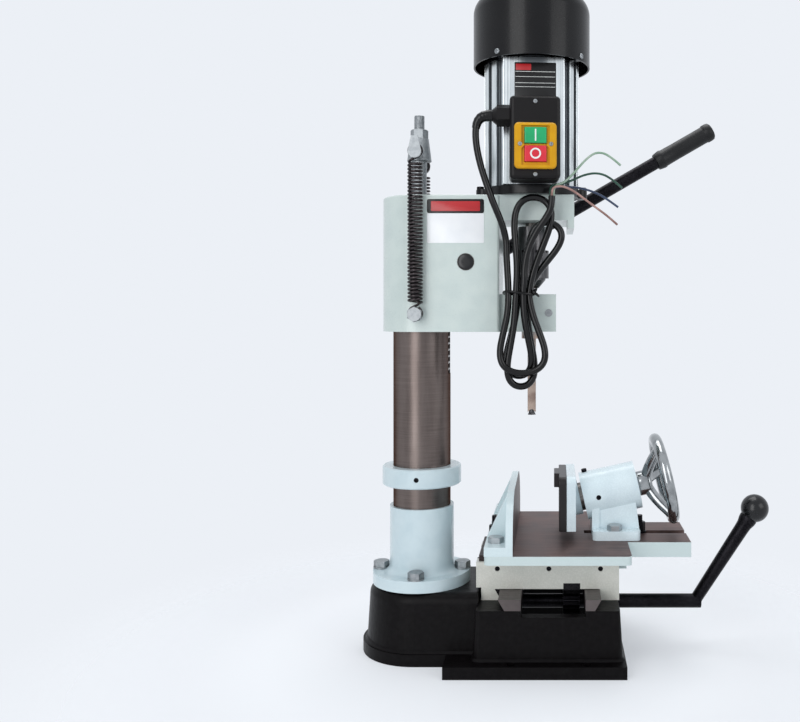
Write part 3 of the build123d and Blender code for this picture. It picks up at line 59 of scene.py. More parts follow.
near = Vector((0, -1, 0))
top = Vector((0, 0, 1))


class Signal:
    """The value of one socket in a finish, which sums, products and comparisons can be written with."""

    def __init__(self, finish, socket):
        self.finish = finish
        self.socket = socket

    def worked(self, operation, first, second):
        return self.finish.node("ShaderNodeMath", {"operation": operation}, {0: first, 1: second})

    def __add__(self, other):
        return self.worked("ADD", self, other)

    def __sub__(self, other):
        return self.worked("SUBTRACT", self, other)

    def __rsub__(self, other):
        return self.worked("SUBTRACT", other, self)

    def __mul__(self, other):
        return self.worked("MULTIPLY", self, other)

    def __gt__(self, other):
        return self.worked("GREATER_THAN", self, other)

    def __lt__(self, other):
        return self.worked("LESS_THAN", self, other)

    __radd__ = __add__
    __rmul__ = __mul__


class Finish:
    """A procedural material. Its textures lie in the frame's own metres, so they move with their piece."""

    def __init__(self, name, world=None):
        self.material = world or bpy.data.materials.new(name)
        self.material.use_nodes = True
        self.tree = self.material.node_tree
        self.shader = self.tree.nodes.get("Principled BSDF")
        self.place = self.node("ShaderNodeTexCoord", {}, {}, "Object")

    def node(self, kind, settings, sockets, output=0):
        """A node of that kind: its settings are set first, then the values or links of its sockets."""
        node = self.tree.nodes.new(kind)
        for name, setting in settings.items():
            setattr(node, name, setting)
        self.feed(node, sockets)
        return Signal(self, node.outputs[output])

    def feed(self, node, sockets):
        """Gives a node's sockets their values or links."""
        for name, value in sockets.items():
            if isinstance(value, Signal):
                self.tree.links.new(value.socket, node.inputs[name])
            else:
                node.inputs[name].default_value = value

    def wear(self, sockets):
        """The finished material, with these values or links on its shader."""
        self.feed(self.shader, sockets)
        return self.material

    def along(self, axis):
        """The place along one axis of the frame, in metres."""
        return self.node("ShaderNodeSeparateXYZ", {}, {0: self.place}, axis)

    def facing(self, axis):
        """How far the surface faces along one axis of the frame, from -1 to 1."""
        normal = self.node("ShaderNodeTexCoord", {}, {}, "Normal")
        return self.node("ShaderNodeSeparateXYZ", {}, {0: normal}, axis)

    def distance(self, place, point):
        """How far a place is from a point, in metres."""
        return self.node("ShaderNodeVectorMath", {"operation": "DISTANCE"}, {0: place, 1: point}, "Value")

    def grain(self, per_metre, detail):
        """Noise with that many grains a metre along each axis."""
        place = self.node("ShaderNodeVectorMath", {"operation": "MULTIPLY"}, {0: self.place, 1: per_metre})
        return self.node("ShaderNodeTexNoise", {}, {"Vector": place, "Scale": 1.0, "Detail": detail})

    def ramp(self, value, low, high):
        """0 below low, 1 above high, and smooth between them."""
        return self.node("ShaderNodeMapRange", {"interpolation_type": "SMOOTHSTEP"},
                         {"Value": value, "From Min": low, "From Max": high})

    def mix(self, share, first, second):
        """A colour between two others."""
        return self.node("ShaderNodeMix", {"data_type": "RGBA"}, {0: share, 6: first, 7: second}, 2)

    def relief(self, height, depth):
        """A normal for a surface that rises by that depth where the height is 1."""
        return self.node("ShaderNodeBump", {}, {"Strength": 1.0, "Distance": depth, "Height": height})


def tint(red, green, blue):
    """A colour as it looks on a screen, 0 to 255, in the linear form that a shader takes."""
    linear = []
    for part in (red / 255, green / 255, blue / 255):
        linear.append(part / 12.92 if part <= 0.04045 else ((part + 0.055) / 1.055) ** 2.4)
    return (*linear, 1.0)


def even(per_metre):
    """The same grain along every axis."""
    return (per_metre, per_metre, per_metre)


def enamel(name, colour, shade, roughness, wave_depth, shine=0.5):
    """Paint on a casting: the slow waves of the casting under fine orange peel."""
    finish = Finish(name)
    waves = finish.grain(even(45), 3.0)
    peel = finish.grain(even(700), 1.0)
    cloud = finish.ramp(waves, 0.3, 0.7)
    return finish.wear({
        "Base Color": finish.mix(cloud, shade, colour),
        "Roughness": roughness + 0.1 * peel,
        "Specular IOR Level": shine,
        "Coat Weight": shine * (0.7 - 0.4 * peel),
        "Coat Roughness": 0.12,
        "Normal": finish.relief(waves + 0.12 * peel, wave_depth)})


def moulded(name, colour, shade, roughness, skin_depth, shine=0.5):
    """Moulded plastic or rubber: an even colour with a fine spark-eroded skin."""
    finish = Finish(name)
    skin = finish.grain(even(2600), 2.0)
    flow = finish.grain(even(60), 2.0)
    return finish.wear({
        "Base Color": finish.mix(finish.ramp(flow, 0.3, 0.7), shade, colour),
        "Roughness": roughness + 0.14 * skin - 0.06 * flow,
        "Specular IOR Level": shine,
        "Normal": finish.relief(skin, skin_depth)})


def bare_metal(name, bright, dull, roughness, marks_per_metre, mark_depth):
    """Bare or plated metal, with tool marks that run across their finest axis."""
    finish = Finish(name)
    marks = finish.grain(marks_per_metre, 3.0)
    stain = finish.grain(even(38), 3.0)
    return finish.wear({
        "Base Color": finish.mix(finish.ramp(0.65 * marks + 0.35 * stain, 0.35, 0.65), dull, bright),
        "Metallic": 1.0,
        "Roughness": roughness + 0.16 * (marks - 0.5) + 0.08 * stain,
        "Normal": finish.relief(marks, mark_depth)})


def base_paint(way_floor, way_back):
    """Satin black on the base's rough casting, and bare ground iron on the ways."""
    finish = Finish("base_satin_black")
    cast = finish.grain(even(170), 5.0)
    waves = finish.grain(even(26), 2.0)
    grinding = finish.grain((30, 700, 30), 3.0)
    ground = (finish.along("Z") > way_floor) * (finish.along("X") > way_back)
    paint = finish.mix(finish.ramp(cast, 0.3, 0.75), tint(6, 4, 5), tint(13, 11, 12))
    iron = finish.mix(grinding, tint(70, 64, 64), tint(116, 108, 107))
    return finish.wear({
        "Base Color": finish.mix(ground, paint, iron),
        "Metallic": 0.85 * ground,
        "Roughness": 0.28 + 0.2 * cast - 0.02 * ground,
        "Specular IOR Level": 0.1,
        "Normal": finish.relief((cast + 0.8 * waves) * (1.0 - 0.8 * ground), 0.24 * mm)})


def table_finish(top_height, slot_reach, tongue_reach):
    """White paint round the table, with a brown machined top and slot, and a dark tongue."""
    finish = Finish("table_machined_top")
    cutter = finish.grain((14, 900, 14), 3.0)
    oil = finish.grain((30, 22, 30), 4.0)
    peel = finish.grain(even(700), 1.0)
    across = finish.along("Y")
    top_face = (finish.along("Z") > top_height - 0.6 * mm) * (finish.facing("Z") > 0.7)
    slot = (across * across < slot_reach ** 2) * (finish.facing("X") < 0.5) * (finish.facing("Z") > -0.5)
    tongue = finish.along("X") < tongue_reach
    machined = top_face + slot + tongue > 0.5
    tone = finish.ramp(0.6 * cutter + 0.4 * oil, 0.35, 0.68)
    brown = finish.mix(tone, tint(68, 53, 51), tint(122, 100, 96))
    brown = finish.mix(tongue, brown, tint(52, 44, 43))
    white = finish.mix(peel, tint(192, 207, 207), tint(201, 215, 215))
    return finish.wear({
        "Base Color": finish.mix(machined, white, brown),
        "Metallic": 0.8 * machined,
        "Roughness": 0.3 + machined * (0.06 + 0.25 * oil),
        "Normal": finish.relief(cutter * machined + 0.1 * peel, 0.05 * mm)})


def fence_finish(face_reach):
    """White paint on the fence, with a dark machined working face."""
    finish = Finish("fence_machined_face")
    cutter = finish.grain((14, 14, 900), 3.0)
    oil = finish.grain((30, 18, 30), 4.0)
    peel = finish.grain(even(700), 1.0)
    machined = (finish.along("X") > face_reach - 0.5 * mm) * (finish.facing("X") > 0.7)
    tone = finish.ramp(0.5 * cutter + 0.5 * oil, 0.35, 0.68)
    dark = finish.mix(tone, tint(66, 55, 54), tint(112, 97, 94))
    white = finish.mix(peel, tint(200, 216, 220), tint(213, 228, 231))
    return finish.wear({
        "Base Color": finish.mix(machined, white, dark),
        "Metallic": 0.8 * machined,
        "Roughness": 0.26 + 0.2 * machined,
        "Normal": finish.relief(cutter * machined + 0.1 * peel, 0.05 * mm)})


def column_finish():
    """The ground column: fine rings all the way up, under a brownish film of oil."""
    finish = Finish("column_ground_steel")
    rings = finish.grain((25, 25, 2400), 3.0)
    film = finish.grain((60, 60, 7), 4.0)
    tone = finish.ramp(0.4 * rings + 0.6 * film, 0.3, 0.7)
    return finish.wear({
        "Base Color": finish.mix(tone, tint(90, 81, 78), tint(118, 108, 104)),
        "Metallic": 1.0,
        "Roughness": 0.27 + 0.08 * rings,
        "Specular Tint": tint(150, 138, 134),
        "Normal": finish.relief(rings, 0.002 * mm)})


def housing_finish(axis, rib_reach):
    """The motor's extruded aluminium: draw marks from end to end, and rougher flutes between bright ribs,
    their colour darkened with painted shade.
    """
    finish = Finish("motor_extruded_aluminium")
    draw = finish.grain((520, 520, 3), 3.0)
    haze = finish.grain(even(30), 3.0)
    level = finish.node("ShaderNodeVectorMath", {"operation": "MULTIPLY"}, {0: finish.place, 1: (1, 1, 0)})
    rib = finish.ramp(finish.distance(level, axis), rib_reach - 3.5 * mm, rib_reach - 0.3 * mm)
    tone = finish.ramp(0.7 * draw + 0.3 * haze, 0.35, 0.65)
    bright = finish.mix(tone, tint(196, 202, 204), tint(236, 241, 242))
    # Painted shade: the flutes' colour is darker than the ribs', as shade falls between the ribs
    dull = finish.mix(haze, tint(92, 96, 100), tint(128, 133, 137))
    return finish.wear({
        "Base Color": finish.mix(rib, dull, bright),
        "Metallic": 1.0,
        "Roughness": 0.2 + 0.16 * draw + 0.12 * (1.0 - rib),
        "Normal": finish.relief(draw, 0.02 * mm)})


def chisel_finish(shank_height):
    """The chisel: ground lengthwise, with straw and copper heat colours over its blade."""
    finish = Finish("chisel_straw_steel")
    grinding = finish.grain((800, 800, 12), 3.0)
    heat = finish.grain((40, 40, 55), 2.0)
    blade = finish.ramp(finish.along("Z"), shank_height, shank_height - 8 * mm)
    steel = finish.mix(grinding, tint(120, 116, 114), tint(180, 176, 172))
    straw = finish.mix(finish.ramp(heat, 0.3, 0.7), tint(118, 99, 91), tint(166, 149, 138))
    return finish.wear({
        "Base Color": finish.mix(blade, steel, straw),
        "Metallic": 1.0,
        "Roughness": 0.26 + 0.2 * grinding,
        "Normal": finish.relief(grinding, 0.02 * mm)})


def table_bolt_metal(black_reach, black_height):
    """Zinc plate on the table's bolts, and black oxide on those beyond the reach or above the height."""
    finish = Finish("table_bolt_metal")
    grit = finish.grain(even(420), 3.0)
    black = (finish.along("X") > black_reach) + (finish.along("Z") > black_height) > 0.5
    zinc = finish.mix(grit, tint(166, 170, 173), tint(186, 190, 192))
    oxide = finish.mix(grit, tint(18, 17, 20), tint(40, 39, 42))
    return finish.wear({
        "Base Color": finish.mix(black, zinc, oxide),
        "Metallic": 1.0,
        "Roughness": 0.3 + 0.12 * grit,
        "Normal": finish.relief(grit, 0.004 * mm)})


spindle_x = 135.5
table_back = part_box("table_top")[0].x
top_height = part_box("fence")[0].z
finish_of = {
    "base_black": base_paint(way_floor=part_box("saddle_casting")[0].z - 0.02 * mm,
                             way_back=table_back + 10 * mm),
    "socket_white": enamel("socket_gloss_white", tint(200, 216, 221), tint(191, 209, 215), 0.2, 0.16 * mm),
    "zinc_bolts": bare_metal("bright_zinc_plate", tint(160, 164, 166), tint(138, 142, 145),
                             0.44, even(260), 0.003 * mm),
    "column_steel": column_finish(),
    "rack_steel": bare_metal("oiled_rack_steel", tint(138, 134, 130), tint(92, 88, 86),
                             0.3, even(500), 0.03 * mm),
    "spring_black": bare_metal("blackened_spring_wire", tint(82, 76, 77), tint(40, 37, 39),
                               0.34, even(900), 0.02 * mm),
    "head_grey": enamel("head_gloss_grey", tint(202, 214, 210), tint(195, 208, 205), 0.24, 0.1 * mm),
    "bush_bronze": bare_metal("turned_bronze", tint(196, 152, 96), tint(140, 100, 58),
                              0.3, (40, 900, 40), 0.03 * mm),
    "motor_black": enamel("motor_gloss_black", tint(11, 11, 13), tint(7, 7, 9), 0.24, 0.08 * mm, 0.2),
    "motor_aluminium": housing_finish(axis=(spindle_x * mm, 0, 0), rib_reach=58 * mm),
    "motor_core": bare_metal("laminated_core", tint(126, 120, 114), tint(80, 76, 72),
                             0.4, (20, 20, 2000), 0.05 * mm),
    "fan_plastic": moulded("fan_black_plastic", tint(44, 44, 46), tint(36, 36, 38), 0.5, 0.03 * mm),
    "switch_black": moulded("switch_black_plastic", tint(15, 12, 13), tint(11, 9, 10), 0.36, 0.03 * mm, 0.22),
    "switch_yellow": moulded("bezel_yellow_plastic", tint(216, 160, 8), tint(206, 148, 6),
                             0.28, 0.01 * mm, 0.3),
    "button_green": moulded("start_green_plastic", tint(26, 172, 106), tint(20, 160, 98), 0.2, 0.008 * mm),
    "button_red": moulded("stop_red_plastic", tint(222, 46, 62), tint(210, 36, 54), 0.2, 0.008 * mm),
    "cord_black": moulded("cord_black_rubber", tint(8, 7, 8), tint(5, 5, 6), 0.14, 0.01 * mm, 0.32),
    "core_pale": moulded("core_pale_insulation", tint(166, 184, 168), tint(122, 156, 132), 0.3, 0.006 * mm),
    "core_green": moulded("core_green_insulation", tint(26, 74, 58), tint(18, 56, 44), 0.3, 0.006 * mm),
    "core_blue": moulded("core_blue_insulation", tint(44, 62, 92), tint(32, 46, 74), 0.3, 0.006 * mm),
    "core_brown": moulded("core_brown_insulation", tint(176, 140, 132), tint(120, 84, 76), 0.3, 0.006 * mm),
    "lever_black": bare_metal("lever_black_oxide", tint(38, 37, 40), tint(18, 17, 20),
                              0.36, even(700), 0.03 * mm),
    "grip_rubber": moulded("grip_black_rubber", tint(16, 17, 19), tint(11, 12, 14), 0.4, 0.08 * mm, 0.3),
    "knob_black": moulded("knob_black_phenolic", tint(12, 13, 16), tint(8, 8, 11), 0.2, 0.006 * mm, 0.4),
    "chuck_steel": bare_metal("chuck_dark_steel", tint(104, 103, 104), tint(52, 51, 54),
                              0.26, (700, 700, 40), 0.03 * mm),
    "chisel_steel": chisel_finish(shank_height=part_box("head_casting")[0].z),
    "saddle_white": enamel("saddle_gloss_white", tint(211, 210, 201), tint(203, 203, 194), 0.22, 0.14 * mm),
    "table_iron": table_finish(top_height, slot_reach=9 * mm, tongue_reach=table_back + 11 * mm),
    "jaw_iron": enamel("jaw_black_iron", tint(24, 18, 19), tint(14, 11, 12), 0.36, 0.15 * mm, 0.3),
    "wheel_chrome": bare_metal("wheel_chrome_plate", tint(166, 169, 170), tint(136, 139, 141),
                               0.1, even(90), 0.003 * mm),
}
table_bolt_finish = table_bolt_metal(black_reach=258 * mm, black_height=170 * mm)
fence_paint = fence_finish(face_reach=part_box("fence")[1].x)
mark_white = enamel("mark_white", tint(240, 243, 240), tint(232, 236, 233), 0.3, 0.01 * mm)
plate_black = enamel("plate_satin_black", tint(14, 12, 13), tint(9, 8, 9), 0.34, 0.02 * mm, 0.3)
plate_red = enamel("plate_red_field", tint(190, 22, 30), tint(176, 16, 24), 0.3, 0.02 * mm)
plate_pale = enamel("plate_pale_field", tint(244, 246, 248), tint(238, 241, 244), 0.25, 0.02 * mm)
screw_black = bare_metal("screw_black_oxide", tint(40, 39, 42), tint(18, 17, 20), 0.32, even(800), 0.02 * mm)
clamp_white = enamel("clamp_gloss_white", tint(220, 235, 240), tint(211, 227, 233), 0.22, 0.12 * mm)
rack_black = bare_metal("rack_black_oxide", tint(44, 42, 44), tint(22, 21, 23), 0.36, even(500), 0.03 * mm)


def smoothed(mesh, sharp_angle):
    """The mesh made smooth, apart from edges that turn by more than the angle in degrees."""
    mesh.shade_smooth()
    mesh.set_sharp_from_angle(angle=radians(sharp_angle))
    return mesh


def new_mesh(name, vertices, faces):
    """A smooth mesh of these faces."""
    mesh = bpy.data.meshes.new(name)
    mesh.from_pydata(vertices, [], faces)
    return smoothed(mesh, 40)


def circle(radius, count):
    """(x, y) pairs of evenly spaced places on a circle about the origin."""
    turns = [tau * step / count for step in range(count)]
    return [(radius * cos(turn), radius * sin(turn)) for turn in turns]


def tube(name, line, radii, sides, closed=False):
    """A round tube along a line of points, with a radius at each point."""
    count = len(line)
    across = None
    vertices = []
    for index, point in enumerate(line):
        before = line[index - 1] if index or closed else point
        after = line[(index + 1) % count] if index + 1 < count or closed else point
        ahead = (after - before).normalized()
        across = ahead.orthogonal() if across is None else across - ahead * across.dot(ahead)
        across.normalize()
        beside = ahead.cross(across)
        for side in range(sides):
            turn = tau * side / sides
            vertices.append(point + (across * cos(turn) + beside * sin(turn)) * radii[index])
    faces = []
    for ring in range(count if closed else count - 1):
        here = ring * sides
        there = (ring + 1) % count * sides
        for side in range(sides):
            other = (side + 1) % sides
            faces.append((here + side, here + other, there + other, there + side))
    if not closed:
        faces.append(tuple(reversed(range(sides))))
        faces.append(tuple(range((count - 1) * sides, count * sides)))
    return new_mesh(name, vertices, faces)


def wire(name, line, radius, sides, closed=False):
    """A round tube of one radius along a line of points."""
    return tube(name, line, [radius] * len(line), sides, closed)


def lathe(name, profile, sides):
    """A turned piece about Z, from (radius, height) pairs between its lower and its upper pole."""
    low, high = profile[0][1], profile[-1][1]
    vertices = [(0, 0, low)]
    for radius, height in profile:
        vertices += [(x, y, height) for x, y in circle(radius, sides)]
    vertices.append((0, 0, high))
    faces = []
    for side in range(sides):
        other = (side + 1) % sides
        faces.append((0, 1 + other, 1 + side))
        for ring in range(len(profile) - 1):
            here = 1 + ring * sides
            faces.append((here + side, here + other, here + sides + other, here + sides + side))
        last = 1 + (len(profile) - 1) * sides
        faces.append((last + side, last + other, len(vertices) - 1))
    return new_mesh(name, vertices, faces)


def turned(name, profile, sides):
    """A turned piece about Z, from (radius, height) pairs in millimetres."""
    return lathe(name, [(radius * mm, height * mm) for radius, height in profile], sides)


def slab(name, outline, thickness, rounding):
    """A flat plate on z = 0 with an outline of (x, y) pairs, its upper edge rounded."""
    form = bmesh.new()
    face = form.faces.new([form.verts.new((x, y, 0)) for x, y in outline])
    grown = bmesh.ops.extrude_face_region(form, geom=[face])["geom"]
    upper = [part for part in grown if isinstance(part, bmesh.types.BMVert)]
    bmesh.ops.translate(form, verts=upper, vec=(0, 0, thickness))
    edges = [edge for edge in form.edges if all(vertex.co.z > thickness / 2 for vertex in edge.verts)]
    bmesh.ops.bevel(form, geom=edges, offset=rounding, segments=2, affect="EDGES", profile=0.5)
    bmesh.ops.recalc_face_normals(form, faces=form.faces)
    mesh = bpy.data.meshes.new(name)
    form.to_mesh(mesh)
    form.free()
    return smoothed(mesh, 30)


def rounded_outline(width, height, corner, steps=6):
    """(x, y) pairs of a rectangle about the origin with round corners of that many steps."""
    outline = []
    for quarter, (side, rise) in enumerate(((1, 1), (-1, 1), (-1, -1), (1, -1))):
        for step in range(steps + 1):
            turn = pi / 2 * (quarter + step / steps)
            outline.append((side * (width / 2 - corner) + corner * cos(turn),
                            rise * (height / 2 - corner) + corner * sin(turn)))
    return outline


def carved(mesh, cutter):
    """The mesh with the cutter's room taken out of it."""
    things = [bpy.data.objects.new(each.name, each) for each in (mesh, cutter)]
    for thing in things:
        bpy.context.scene.collection.objects.link(thing)
    cut = things[0].modifiers.new("cut", "BOOLEAN")
    cut.operation = "DIFFERENCE"
    cut.object = things[1]
    bpy.context.view_layer.update()
    result = bpy.data.meshes.new_from_object(things[0].evaluated_get(bpy.context.evaluated_depsgraph_get()))
    for thing in things:
        bpy.data.objects.remove(thing)
    return result


def joined(name, meshes):
    """Several meshes as one."""
    form = bmesh.new()
    for mesh in meshes:
        form.from_mesh(mesh)
    whole = bpy.data.meshes.new(name)
    form.to_mesh(whole)
    form.free()
    whole.set_sharp_from_angle(angle=radians(35))
    return whole


def placed(mesh, origin, way):
    """A copy of a mesh with its Z along the way, its Y as near upright as can be, and its origin moved."""
    ahead = Vector(way).normalized()
    side = top.cross(ahead)
    side = side.normalized() if side.length > 1e-6 else ahead.orthogonal().normalized()
    turn = Matrix((side, ahead.cross(side), ahead)).transposed().to_4x4()
    copy = mesh.copy()
    copy.transform(Matrix.Translation(origin) @ turn)
    return copy


def shown(name, data, slot, finish=None):
    """A piece that Blender adds, wearing its slot's finish unless it has another."""
    thing = bpy.data.objects.new(name, data)
    bpy.context.scene.collection.objects.link(thing)
    thing.data.materials.append(finish or finish_of[slot])
    return thing


def piece(name, data, body, slot, finish=None):
    """A piece that Blender adds, riding on its body."""
    thing = shown(name, data, slot, finish)
    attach(thing, body)
    return thing


def middle_of(node):
    """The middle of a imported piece's box."""
    low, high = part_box(node)
    return (low + high) / 2


def cross_screw(radius, height):
    """A domed screw head on z = 0 with a cross recess."""
    turns = [step * pi / 12 for step in range(6)]
    dome = [(radius * cos(turn), height * (0.3 + 0.7 * sin(turn))) for turn in turns]
    head = lathe("screw_head", [(radius * 0.9, 0)] + dome, sides=28)
    arm, slit = radius * 0.62, radius * 0.13
    for width, length in ((2 * arm, 2 * slit), (2 * slit, 2 * arm)):
        recess = slab("recess", rounded_outline(width, length, slit / 2, 2), height, slit / 4)
        recess.transform(Matrix.Translation((0, 0, height * 0.45)))
        head = carved(head, recess)
    return head


def socket_screw(radius, height, key):
    """A cap screw head on z = 0 with a six-sided socket."""
    profile = [(radius * 0.96, 0), (radius, height * 0.08), (radius, height * 0.86),
               (radius * 0.9, height), (radius * 0.5, height)]
    socket = slab("socket", circle(key, 6), height, key * 0.05)
    socket.transform(Matrix.Translation((0, 0, height * 0.4)))
    return carved(lathe("cap_head", profile, sides=36), socket)


def soften(node, width):
    """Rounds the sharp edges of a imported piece, as its casting, moulding or tumbling leaves them."""
    thing = frame["nodes"][node]
    weld = thing.modifiers.new("weld", "WELD")
    weld.merge_threshold = 0.005 * mm
    flat = thing.modifiers.new("flat_faces", "DECIMATE")
    flat.decimate_type = "DISSOLVE"
    flat.angle_limit = radians(0.3)
    bevel = thing.modifiers.new("round_edges", "BEVEL")
    bevel.width = width
    bevel.segments = 2
    bevel.limit_method = "ANGLE"
    bevel.angle_limit = radians(38)
    bevel.harden_normals = True
    shading = thing.modifiers.new("flat_light", "WEIGHTED_NORMAL")
    shading.keep_sharp = True


def spline_curve(name, points):
    """A curve of one open spline with the points, in millimetres, as its control points."""
    curve = bpy.data.curves.new(name, "CURVE")
    curve.dimensions = "3D"
    spline = curve.splines.new("NURBS")
    spline.points.add(len(points) - 1)
    for point, place in zip(spline.points, points):
        point.co = (*(Vector(place) * mm), 1.0)
    spline.order_u = 3
    spline.use_endpoint_u = True
    spline.resolution_u = 8
    return curve


def line_along(points):
    """The places along the smooth spline with these control points."""
    curve = spline_curve("line", points)
    bare = bpy.data.objects.new("line", curve)
    mesh = bpy.data.meshes.new_from_object(bare)
    line = [vertex.co.copy() for vertex in mesh.vertices]
    bpy.data.objects.remove(bare)
    return line


def length_of(line):
    """The length of a line of points."""
    return sum((after - before).length for before, after in zip(line, line[1:]))


def cord_piece(name, points, thickness, slot):
    """A round cord or core with closed ends, riding on the head."""
    curve = spline_curve(name, points)
    curve.bevel_depth = thickness / 2
    curve.bevel_resolution = 5
    curve.use_fill_caps = True
    return piece(name, curve, "head", slot)


# Camera, as the photograph was taken from

camera = bpy.data.objects.new("camera", bpy.data.cameras.new("camera"))
bpy.context.scene.collection.objects.link(camera)
bpy.context.scene.camera = camera
camera.location = (163 * mm, -1100 * mm, 413 * mm)
camera.rotation_euler = (pi / 2, 0, 0)
camera.data.lens = 40.05
camera.data.shift_x = -0.1925
camera.data.shift_y = -0.06375

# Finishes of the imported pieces, some of which wear another than their slot's

for subpart in frame["record"]["subparts"]:
    dressed = frame["nodes"][subpart["node"]]
    dressed.data.materials.clear()
    dressed.data.materials.append(finish_of[subpart["material_slot"]])
own_finishes = {
    "fence": fence_paint, "clamp_body": clamp_white, "jaw_plate": clamp_white, "saddle_rack": rack_black,
    "gib_strips": rack_black, "table_bolts": table_bolt_finish, "chisel_pinch_bolt": finish_of["zinc_bolts"],
}
for node, finish in own_finishes.items():
    frame["nodes"][node].data.materials[0] = finish

# Supply cord: the lead, the tied hank, the tail and its four bare-ended cores

cord_thickness = 8 * mm
core_thickness = 2.6 * mm
waist = 433
lead_route = [(91.92, -79.23, 636), (83, -79.85, 636), (75.8, -80.3, 630.5), (72.9, -80.3, 620),
              (73.6, -79.8, 603), (78, -78.4, 581), (85.3, -76, 558), (93.5, -72.6, 535),
              (102.5, -67.5, 514), (107.5, -62, 494), (107.5, -62, 476)]
tail_route = [(128.5, -71, 446), (128.5, -71, 460), (130.8, -71, 476), (136, -71, 491.5), (144, -71, 506),
              (153, -71, 518.5), (160.5, -71, 531.5), (160.5, -71, 545)]
core_routes = {
    "core_pale": [(162.4, -71, 545), (162.4, -71, 552.5), (166, -72, 558), (174, -71.5, 560),
                  (183, -70.4, 568), (192, -69.6, 578.5), (201, -69.6, 588.5), (212, -70, 596),
                  (226, -71, 593), (240, -71.5, 580)],
    "core_green": [(158.6, -71, 545), (158.6, -71, 554.3), (162.5, -68.5, 558.6), (172, -65, 559),
                   (185, -62.8, 564.5), (199, -62, 571), (214, -63, 573), (228.5, -64, 567.5),
                   (242, -65, 555)],
    "core_blue": [(160.5, -69.1, 545), (160.5, -69.1, 552.5), (165.2, -65, 556.3), (175.5, -61, 557),
                  (190, -58.8, 556.5), (205, -58, 553), (221, -59, 546), (238, -60, 533)],
    "core_brown": [(160.5, -72.9, 545), (160.5, -72.9, 552), (164.5, -75.2, 555.5), (174, -75.8, 555.5),
                   (186, -75.4, 550), (198.5, -75, 540.5), (212, -75, 530.5), (225, -75.4, 521),
                   (236, -76, 511)],
}
strands = [(110.5, -67), (133, -65), (119, -68), (130, -55.5), (121, -56), (127, -69)]
# For each loop between two strands: the height of its end, how far it spreads, leans and bows, and how
# pointed its end is.
loops = [(339, 20.2, 6.4, -3, 1.0), (545.3, 17.8, 16.2, 6, 1.0), (323, 13, 0, 0, 0.85),
         (515, 15.5, 36, 0, 1.0), (335, 14, -3, 8, 0.9)]
loop_points = 11
# Brings the widest place of a loop's belly to about 1, before it is spread
belly_scale = 2.6


def hank_loop(first, last, end, spread, lean, bow, point):
    """Points of a loop of the hank, from one strand at the waist to the loop's end and back to another."""
    start, target = Vector((*first, waist)), Vector((*last, waist))
    axis = Vector((lean, 0, end - waist))
    wide = Vector((axis.z, 0, -lean)).normalized()
    if wide.x * (target.x - start.x) < 0:
        wide.negate()
    points = []
    for step in range(1, loop_points + 1):
        turn = pi * step / (loop_points + 1)
        belly = belly_scale * cos(turn) * sin(turn) ** 2
        between = start.lerp(target, (1 - cos(turn)) / 2)
        sideways = Vector((0, bow * sin(turn), 0))
        points.append(between + axis * sin(turn) ** point - wide * spread * belly + sideways)
    return points


cord_points = list(lead_route)
for strand, follower, loop in zip(strands, strands[1:], loops):
    cord_points.append((*strand, waist))
    cord_points += hank_loop(strand, follower, *loop)
cord_points.append((*strands[-1], waist))
cord_points += tail_route
cord = cord_piece("supply_cord", cord_points, cord_thickness, "cord_black")
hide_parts("cord_lead", "cord_hank", "cord_tail")
cores = [cord_piece("supply_" + core, route, core_thickness, core) for core, route in core_routes.items()]
cord_line = line_along(cord_points)

# The cord's boot at the gland, a ribbed taper
boot_length = 28 * mm
boot_radius, boot_taper = 7.2, 2.5
boot_ribs, rib_depth = 7, 0.03
boot_line, boot_radii, reach = [], [], 0
for before, after in zip(cord_line, cord_line[1:]):
    if reach > boot_length:
        break
    share = reach / boot_length
    groove = rib_depth * (1 + cos(tau * boot_ribs * share))
    boot_line.append(before)
    boot_radii.append((boot_radius - boot_taper * share) * mm * (1 - groove))
    reach += (after - before).length
boot = piece("cord_boot", tube("cord_boot", boot_line, boot_radii, sides=24), "head", "cord_black")

# The tie round the waist of the hank, with a knot and two short ends
tie_x, tie_y = 122.5, -61.5
tie_width, tie_depth, tie_sway = 18.5, 12.5, 1.5
tie_radius, knot_radius = 1.5, 2
end_radius, end_taper = 1.9, 0.7
tie_points, tie_sides = 40, 10
tie_ring = []
for step in range(tie_points):
    turn = tau * step / tie_points
    tie_ring.append(Vector((tie_x + tie_width * cos(turn), tie_y + tie_depth * sin(turn),
                            waist + tie_sway * sin(2 * turn))) * mm)
tie_parts = [wire("tie_ring", tie_ring, tie_radius * mm, tie_sides, closed=True)]
tie_knot = Vector((139.5, -67.5, waist))
for bend, tip in (((143, -71, 432), (145.5, -72.5, 428.5)), ((142.5, -71.5, 436), (143, -74, 439.5))):
    end_line = line_along([tie_knot, bend, tip])
    end_radii = [(end_radius - end_taper * step / len(end_line)) * mm for step in range(len(end_line))]
    tie_parts.append(tube("tie_end", end_line, end_radii, tie_sides))
knot_steps = ((-1.5, 2, -2), (1, -1, -1), (-1, -2.5, 1), (1.5, 0, 2.5))
knot_line = line_along([tie_knot + Vector(step) for step in knot_steps])
tie_parts.append(wire("tie_knot", knot_line, knot_radius * mm, tie_sides))
tie = piece("cord_tie", joined("cord_tie", tie_parts), "head", "cord_black")
for core, (node, route) in zip(cores, core_routes.items()):
    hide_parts(node)
    length_of(line_along(route))

# Return springs: one wire each, with a ring round the pin at either end

coil_turns = 39
coil_radius = 7.75
wire_radius = 1.5
coil_heights = (421.5, 586.5)
ring_heights = (409.2, 599.8)
turn_points = 8
ring_points = 12
# How far the wire between a ring and the coil stands beside, before and past the coil's end
leg_beside, leg_before, leg_past = 3, 4, 3
# One in so many of the spline's places is enough for the wire
wire_stride = 4


def around(turn, corners):
    """A control point's two places on the coil's circle, for a spline with that many corners a turn."""
    reach = coil_radius / cos(pi / corners)
    return reach * cos(turn), reach * sin(turn)


